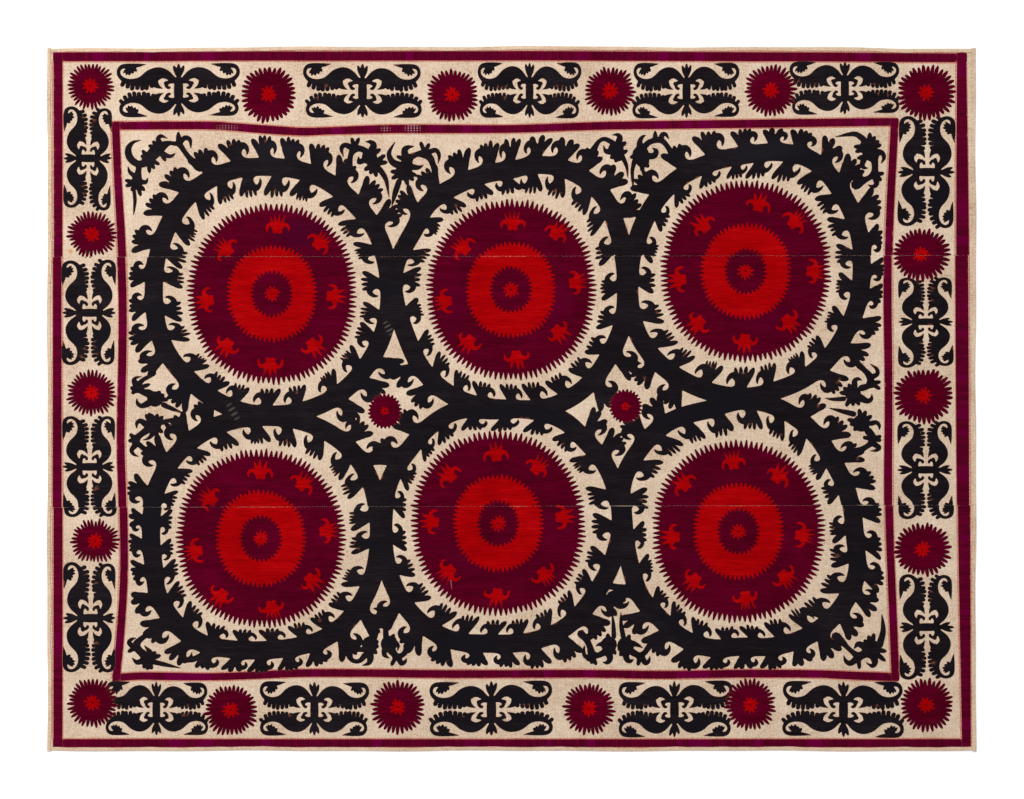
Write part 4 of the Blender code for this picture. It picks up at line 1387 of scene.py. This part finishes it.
def fold_loop(width, depth):
    """The closed section of the fold, inwards and up, from the lower lip round to the upper."""
    radius = depth * 0.46
    outer = [(width, 0.0)]
    inner = [(width, BINDING_THICK)]
    for step in range(2 * FOLD_ARC + 1):
        angle = -math.pi / 2 - math.pi * step / (2 * FOLD_ARC)
        outer.append((radius + radius * math.cos(angle), depth / 2 + depth / 2 * math.sin(angle)))
        inner_half = depth / 2 - BINDING_THICK
        inner_reach = radius - BINDING_THICK
        inner.append((radius + inner_reach * math.cos(angle), depth / 2 + inner_half * math.sin(angle)))
    outer.append((width, depth))
    inner.append((width, depth - BINDING_THICK))
    return np.array(outer + inner[::-1])


def folded_strip(name, stations, place, material):
    """A binding swept along its stations. place gives a point from a station and a section point."""
    section = fold_loop(BINDING_WIDTH, BINDING_DEPTH)
    verts = []
    for station in stations:
        verts += [place(station, inward, up) for inward, up in section]
    size = len(section)
    faces = []
    for number in range(len(stations) - 1):
        for corner in range(size):
            after = (corner + 1) % size
            a = number * size
            faces.append((a + corner, a + after, a + size + after, a + size + corner))
    last = (len(stations) - 1) * size
    half = size // 2
    for base, flip in ((0, True), (last, False)):
        for corner in range(half - 1):
            across = base + size - 1 - corner
            face = (base + corner, base + corner + 1, across - 1, across)
            faces.append(face[::-1] if flip else face)
    piece = new_piece(name.replace("binding", "strip"), verts, faces, material)
    face_outwards(piece)
    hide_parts(name)
    return piece


def face_outwards(piece):
    """Turns the faces outwards and keeps the lips' edges crisp."""
    shape = bmesh.new()
    shape.from_mesh(piece.data)
    bmesh.ops.recalc_face_normals(shape, faces=shape.faces)
    shape.to_mesh(piece.data)
    shape.free()
    piece.data.set_sharp_from_angle(angle=math.radians(50))


def ripple(distance, phase):
    """A small unevenness of the strip's inner edge."""
    return 0.0005 * math.sin(distance / 0.023 + phase) + 0.0004 * math.sin(distance / 0.0091 + 2 * phase)


def upright_binding(edge, material):
    """The folded strip on the left edge (edge -1) or the right edge (edge 1)."""
    name = "binding_left" if edge < 0 else "binding_right"
    edge_line = left_edge if edge < 0 else right_edge
    x = math.copysign(HALF_LENGTH, edge)
    low = float(bottom_edge(x))
    high = float(top_edge(x))
    stations = [(float(y), 0.0) for y in np.arange(low, high, BINDING_STATION)]
    stations.append((high, 0.0))
    for drawn_in in (0.3, 0.55, 0.8, 1.0):
        reach = BINDING_OVERRUN * math.sqrt(1 - (1 - drawn_in) ** 2)
        stations.insert(0, (low - reach, drawn_in))
        stations.append((high + reach, drawn_in))

    def place(station, inward, up):
        y, drawn_in = station
        share = min(inward / BINDING_WIDTH, 1.0)
        inward = inward + share * ripple(y, edge)
        squeeze = 1 - 0.45 * drawn_in ** 2
        inward = BINDING_WIDTH / 2 + (inward - BINDING_WIDTH / 2) * squeeze
        middle = BINDING_DEPTH / 2
        up = middle + (up - middle) * (1 - 0.25 * drawn_in ** 2)
        return float(edge_line(y)) - edge * inward, y, float(cockle(x, y)) + up

    return folded_strip(name, stations, place, material)


def level_binding(edge, material):
    """The folded strip on the bottom edge (edge -1) or the top edge (edge 1)."""
    name = "binding_bottom" if edge < 0 else "binding_top"
    edge_line = top_edge if edge > 0 else bottom_edge
    corner_y = float(edge_line(HALF_LENGTH))
    start = float(left_edge(corner_y)) + BINDING_WIDTH + GAP + 0.001
    end = float(right_edge(corner_y)) - BINDING_WIDTH - GAP - 0.001
    stations = np.linspace(start, end, int((end - start) / BINDING_STATION) + 1)

    def place(x, inward, up):
        share = min(inward / BINDING_WIDTH, 1.0)
        inward = inward + share * ripple(x, 3 * edge)
        return x, float(edge_line(x)) - edge * inward, float(cockle(x, edge * HALF_BREADTH)) + up

    return folded_strip(name, stations, place, material)


def binding_stitches(rng, material):
    """Running stitches that hold the binding, near its inner edge."""
    pitch = 0.0075
    off = BINDING_WIDTH - 0.0016
    places = []
    for edge in (-1, 1):
        side_line = left_edge if edge < 0 else right_edge
        for y in np.arange(-HALF_BREADTH + 0.006, HALF_BREADTH - 0.006, pitch):
            places.append((float(side_line(y)) - edge * off, y, 0.0, 1.0))
        level_line = bottom_edge if edge < 0 else top_edge
        for x in np.arange(-HALF_LENGTH + 0.014, HALF_LENGTH - 0.014, pitch):
            places.append((x, float(level_line(x)) - edge * off, 1.0, 0.0))

    def base(x, y):
        return cockle(x, y) + BINDING_DEPTH - 0.0001

    return stitch_piece("binding_stitches", places, material, 0.0042, 0.0008, 0.0004, rng, base)


# Materials

# Light that falls on the cloth, where 1 shows a white surface as white
LIGHT_LEVEL = 1.225

# Fineness of the worn slashes and ladder rows, as a wave texture counts it
SLASH_SCALE = 0.8
LADDER_SCALE = 42.0


def tone(red, green, blue):
    """The dye that looks like this screen colour, of 0 to 255, in the studio's light."""
    linear = []
    for value in (red, green, blue):
        value = value / 255
        value = value / 12.92 if value < 0.04045 else ((value + 0.055) / 1.055) ** 2.4
        linear.append(value / LIGHT_LEVEL)
    return (*linear, 1.0)


class Shader:
    """A material's nodes, added one at a time."""

    def __init__(self, name, roughness, shine, tint):
        self.material = bpy.data.materials.new(name)
        self.material.use_nodes = True
        self.tree = self.material.node_tree
        self.surface = self.tree.nodes["Principled BSDF"]
        self.surface.inputs["Roughness"].default_value = roughness
        self.surface.inputs["Specular IOR Level"].default_value = shine
        self.surface.inputs["Specular Tint"].default_value = tint
        self.place = self.add("ShaderNodeTexCoord").outputs["Object"]

    def add(self, kind, values=None, **settings):
        node = self.tree.nodes.new(kind)
        for key, value in settings.items():
            setattr(node, key, value)
        for key, value in (values or {}).items():
            if isinstance(value, bpy.types.NodeSocket):
                self.tree.links.new(value, node.inputs[key])
            else:
                node.inputs[key].default_value = value
        return node

    def stretched(self, x, y, z=1.0, turn=0.0):
        """The place, scaled along each axis."""
        node = self.add("ShaderNodeMapping", {"Vector": self.place, "Scale": (x, y, z)})
        node.inputs["Rotation"].default_value = (0, 0, turn)
        return node.outputs[0]

    def noise(self, where, scale=1.0, detail=3.0, roughness=0.5):
        node = self.add("ShaderNodeTexNoise", {"Vector": where, "Scale": scale, "Detail": detail,
                                               "Roughness": roughness})
        return node.outputs["Fac"]

    def wave(self, where, scale, direction, distortion=0.3):
        node = self.add("ShaderNodeTexWave", {"Vector": where, "Scale": scale, "Distortion": distortion})
        node.bands_direction = direction
        return node.outputs["Fac"]

    def ramp(self, value, stops):
        """A colour from a value, through stops of place and screen colour."""
        node = self.add("ShaderNodeValToRGB", {"Fac": value})
        band = node.color_ramp
        while len(band.elements) < len(stops):
            band.elements.new(0.5)
        for element, (place, colour) in zip(band.elements, stops):
            element.position = place
            element.color = tone(*colour)
        return node.outputs["Color"]

    def level(self, value, low, high, out_low=0.0, out_high=1.0):
        node = self.add("ShaderNodeMapRange", {"Value": value, "From Min": low, "From Max": high,
                                               "To Min": out_low, "To Max": out_high})
        return node.outputs["Result"]

    def sum(self, a, b, operation="ADD"):
        return self.add("ShaderNodeMath", {0: a, 1: b}, operation=operation).outputs[0]

    def mix(self, share, a, b, blend="MIX"):
        node = self.add("ShaderNodeMix", {0: share, 6: a, 7: b}, data_type="RGBA", blend_type=blend)
        return node.outputs[2]

    def bump(self, height, distance, strength=1.0, before=None):
        node = self.add("ShaderNodeBump", {"Height": height, "Distance": distance, "Strength": strength})
        if before is not None:
            self.tree.links.new(before, node.inputs["Normal"])
        return node.outputs["Normal"]

    def worn(self, colour, rows):
        """The colour with its wear and stains laid over it."""
        for x, y, half_width, half_height, turn, look, stain, strength in rows:
            node = self.add("ShaderNodeMapping", {"Vector": self.place}, vector_type="TEXTURE")
            node.inputs["Location"].default_value = (x * STEP, y * STEP, 0)
            node.inputs["Rotation"].default_value = (0, 0, math.radians(turn))
            node.inputs["Scale"].default_value = (half_width * STEP, half_height * STEP, 100.0)
            length = self.add("ShaderNodeVectorMath", {0: node.outputs[0]}, operation="LENGTH")
            away = length.outputs["Value"]
            share = self.level(away, 1.0, 0.75 if min(half_width, half_height) < 2 else 0.45)
            if look == "dots":
                dots = self.noise(self.stretched(300, 420), detail=1)
                share = self.sum(share, self.level(dots, 0.5, 0.6), "MULTIPLY")
            if look == "slashes":
                bars = self.wave(node.outputs[0], SLASH_SCALE, "Y")
                share = self.sum(share, self.level(bars, 0.35, 0.95), "MULTIPLY")
            if look == "ladder":
                dots = self.sum(self.wave(self.place, LADDER_SCALE, "X"),
                                self.wave(self.place, 1.3 * LADDER_SCALE, "Y"), "MULTIPLY")
                share = self.sum(share, self.level(dots, 0.3, 0.7), "MULTIPLY")
            colour = self.mix(self.sum(share, strength, "MULTIPLY"), colour, tone(*stain))
        return colour

    def finish(self, colour, normal):
        self.tree.links.new(colour, self.surface.inputs["Base Color"])
        self.tree.links.new(normal, self.surface.inputs["Normal"])
        return self.material


def along_across(upright, along, across):
    """Scales for x and y of threads that lie along x, or along y where upright."""
    return (across, along) if upright else (along, across)


def thread_material(name, kind, stops, border_colour, tint, upright=False, batch=None):
    """Laid threads with couching: streaks of tone, fine ribs and rows of small tie stitches."""
    made = Shader(name, 0.6, 0.05, tint)
    broad = made.noise(made.stretched(*along_across(upright, 6, 60)), detail=3)
    fine = made.noise(made.stretched(*along_across(upright, 26, 420)), detail=2)
    cloud = made.noise(made.place, scale=7, detail=2)
    value = made.sum(made.sum(broad, 0.3, "MULTIPLY"), made.sum(fine, 0.46, "MULTIPLY"))
    value = made.sum(value, made.sum(cloud, 0.24, "MULTIPLY"))
    colour = made.ramp(value, stops)
    if batch is not None:
        scale, low, high, other = batch
        dyed = made.noise(made.stretched(*scale), detail=1)
        colour = made.mix(made.level(dyed, low, high), colour, other)
    colour = made.worn(colour, WEAR.get(kind, ()))
    ties = made.noise(made.stretched(*along_across(upright, 240, 330), turn=0.5), detail=1)
    colour = made.mix(made.level(ties, 0.58, 0.72, 0.0, 0.3), colour, tone(*stops[-1][1]))
    border = made.add("ShaderNodeAttribute", attribute_name="border").outputs["Fac"]
    colour = made.mix(made.level(border, 0.2, 0.8, 0.0, 0.85), colour, border_colour)
    rib = made.add("ShaderNodeTexWave", {
        "Vector": made.place, "Scale": 260.0, "Distortion": 1.2, "Detail": 1.0, "Detail Scale": 0.6,
    })
    rib.bands_direction = "X" if upright else "Y"
    normal = made.bump(rib.outputs["Fac"], 0.00035, 0.5)
    normal = made.bump(ties, 0.0006, 0.55, normal)
    return made.finish(colour, normal)


def cotton_material(name, kind, stops, weave=1.0):
    """Plain-woven cotton with slubs, soft creases and a mottled, speckled tone."""
    made = Shader(name, 0.85, 0.05, (1, 1, 1, 1))
    cloud = made.noise(made.place, scale=9, detail=4, roughness=0.6)
    speck = made.noise(made.place, scale=240, detail=2, roughness=0.7)
    slub = made.noise(made.stretched(30, 500), detail=2)
    warp_slub = made.noise(made.stretched(420, 24), detail=2)
    value = made.sum(made.sum(cloud, 0.26, "MULTIPLY"), made.sum(speck, 0.4, "MULTIPLY"))
    value = made.sum(value, made.sum(slub, 0.18, "MULTIPLY"))
    value = made.sum(value, made.sum(warp_slub, 0.16, "MULTIPLY"))
    colour = made.worn(made.ramp(value, stops), WEAR.get(kind, ()))
    warp = made.add("ShaderNodeTexWave", {"Vector": made.place, "Scale": 330.0, "Distortion": 0.6})
    warp.bands_direction = "X"
    weft = made.add("ShaderNodeTexWave", {"Vector": made.place, "Scale": 330.0, "Distortion": 0.6})
    weft.bands_direction = "Y"
    woven = made.sum(warp.outputs["Fac"], weft.outputs["Fac"])
    normal = made.bump(woven, 0.0002, 0.4 * weave)
    crease = made.noise(made.place, scale=60, detail=3)
    normal = made.bump(crease, 0.0025, 0.45, normal)
    return made.finish(colour, normal)


def all_materials():
    """Every material of the cloth, by the name that the pieces ask for."""
    stripes = ((0.38, (66, 2, 23)), (0.48, (81, 2, 29)), (0.56, (92, 3, 36)), (0.66, (106, 5, 45)))
    return {
        "black": thread_material(
            "black_thread", "black", ((0.38, (8, 6, 9)), (0.5, (17, 12, 16)), (0.64, (30, 25, 30))),
            tone(116, 64, 48), (1, 0.86, 0.9, 1), batch=((3, 9, 1), 0.56, 0.62, tone(14, 12, 19))),
        "maroon": thread_material(
            "maroon_thread", "maroon", ((0.38, (61, 0, 15)), (0.5, (77, 0, 23)), (0.62, (92, 0, 32))),
            tone(60, 14, 22), (1, 0.1, 0.3, 1)),
        "red": thread_material(
            "red_thread", "red", ((0.38, (134, 0, 4)), (0.5, (156, 0, 5)), (0.62, (176, 8, 10))),
            tone(120, 4, 12), (1, 0.1, 0.1, 1)),
        "stripe_level": thread_material(
            "stripe_level_thread", "stripe_level", stripes, tone(124, 40, 54), (1, 0.1, 0.4, 1),
            upright=True, batch=((14, 1, 1), 0.6, 0.62, tone(98, 0, 50))),
        "stripe_upright": thread_material(
            "stripe_upright_thread", "stripe_upright", stripes, tone(124, 40, 54), (1, 0.1, 0.4, 1),
            batch=((1, 14, 1), 0.6, 0.62, tone(94, 0, 44))),
        "ground": cotton_material(
            "cotton_ground", "ground",
            ((0.36, (164, 134, 110)), (0.45, (200, 174, 149)), (0.53, (214, 191, 167)),
             (0.64, (234, 215, 194)))),
        "binding": cotton_material(
            "binding_cotton", "binding",
            ((0.34, (170, 132, 106)), (0.5, (212, 184, 156)), (0.66, (232, 210, 184)))),
        "salmon": thread_material(
            "salmon_thread", "salmon",
            ((0.38, (170, 82, 66)), (0.5, (194, 108, 86)), (0.62, (212, 138, 112))),
            tone(194, 108, 86), (1, 0.8, 0.7, 1)),
    }


# Camera, light and floor

PHOTO_WIDTH = 1024
PHOTO_HEIGHT = 799
MIDDLE_X = 511.5
MIDDLE_Y = 398.6
LENS = 85.0
SENSOR = 36.0


def set_camera():
    """A camera straight above, at which 2.5 mm of cloth covers one pixel of the photo."""
    view_width = PHOTO_WIDTH * STEP
    height = view_width * LENS / SENSOR
    data = bpy.data.cameras.new("camera")
    data.lens = LENS
    data.sensor_width = SENSOR
    data.clip_end = 100.0
    data.dof.use_dof = False
    camera = bpy.data.objects.new("camera", data)
    camera.location = (
        (PHOTO_WIDTH / 2 - MIDDLE_X) * STEP,
        (MIDDLE_Y - PHOTO_HEIGHT / 2) * STEP,
        height,
    )
    bpy.context.scene.collection.objects.link(camera)
    bpy.context.scene.camera = camera


def set_floor():
    """A plain pale floor."""
    mesh = bpy.data.meshes.new("floor")
    half = 12.0
    corners = [(-half, -half, 0), (half, -half, 0), (half, half, 0), (-half, half, 0)]
    mesh.from_pydata(corners, [], [(0, 1, 2, 3)])
    floor = bpy.data.objects.new("floor", mesh)
    paint = bpy.data.materials.new("floor_paint")
    paint.use_nodes = True
    surface = paint.node_tree.nodes["Principled BSDF"]
    surface.inputs["Base Color"].default_value = (0.9, 0.9, 0.9, 1)
    surface.inputs["Roughness"].default_value = 0.95
    surface.inputs["Specular IOR Level"].default_value = 0.0
    mesh.materials.append(paint)
    bpy.context.scene.collection.objects.link(floor)


def set_light():
    """An even overcast dome and one broad soft lamp from the top left."""
    world = bpy.data.worlds.new("studio")
    world.use_nodes = True
    sky = world.node_tree.nodes["Background"]
    sky.inputs["Color"].default_value = (1.0, 1.0, 1.0, 1)
    sky.inputs["Strength"].default_value = 0.8
    bpy.context.scene.world = world
    data = bpy.data.lights.new("softbox", "AREA")
    data.shape = "RECTANGLE"
    data.size = 5.0
    data.size_y = 3.0
    data.energy = 420.0
    lamp = bpy.data.objects.new("softbox", data)
    lamp.location = (-3.2, 3.6, 5.2)
    lamp.rotation_euler = (Vector((0, 0, 0)) - lamp.location).to_track_quat("-Z", "Y").to_euler()
    bpy.context.scene.collection.objects.link(lamp)


def main():
    """Builds the whole cloth with its camera, floor and light."""
    scene = bpy.context.scene
    scene.view_settings.view_transform = "Standard"
    set_camera()
    set_light()
    set_floor()
    materials = all_materials()
    shapes = pattern()
    rng = random.Random(SEED + 1)
    bindings = [
        upright_binding(-1, materials["binding"]),
        upright_binding(1, materials["binding"]),
        level_binding(-1, materials["binding"]),
        level_binding(1, materials["binding"]),
    ]
    stitches = binding_stitches(rng, materials["binding"])
    ladder = stitch_piece("salmon_ladder", ladder_stitches(rng), materials["salmon"],
                          STITCH_LONG, STITCH_WIDE, STITCH_HIGH, rng)
    for name, (lower, upper) in PANEL_LINES.items():
        ground = ground_piece(name, materials["ground"])
        threads = thread_pieces(name, shapes, materials)
        if name == "panel_middle":
            threads = threads + [ladder]
        cut = (LENGTH - 2 * PANEL_INSET, float(upper(0.0) - lower(0.0)))


main()
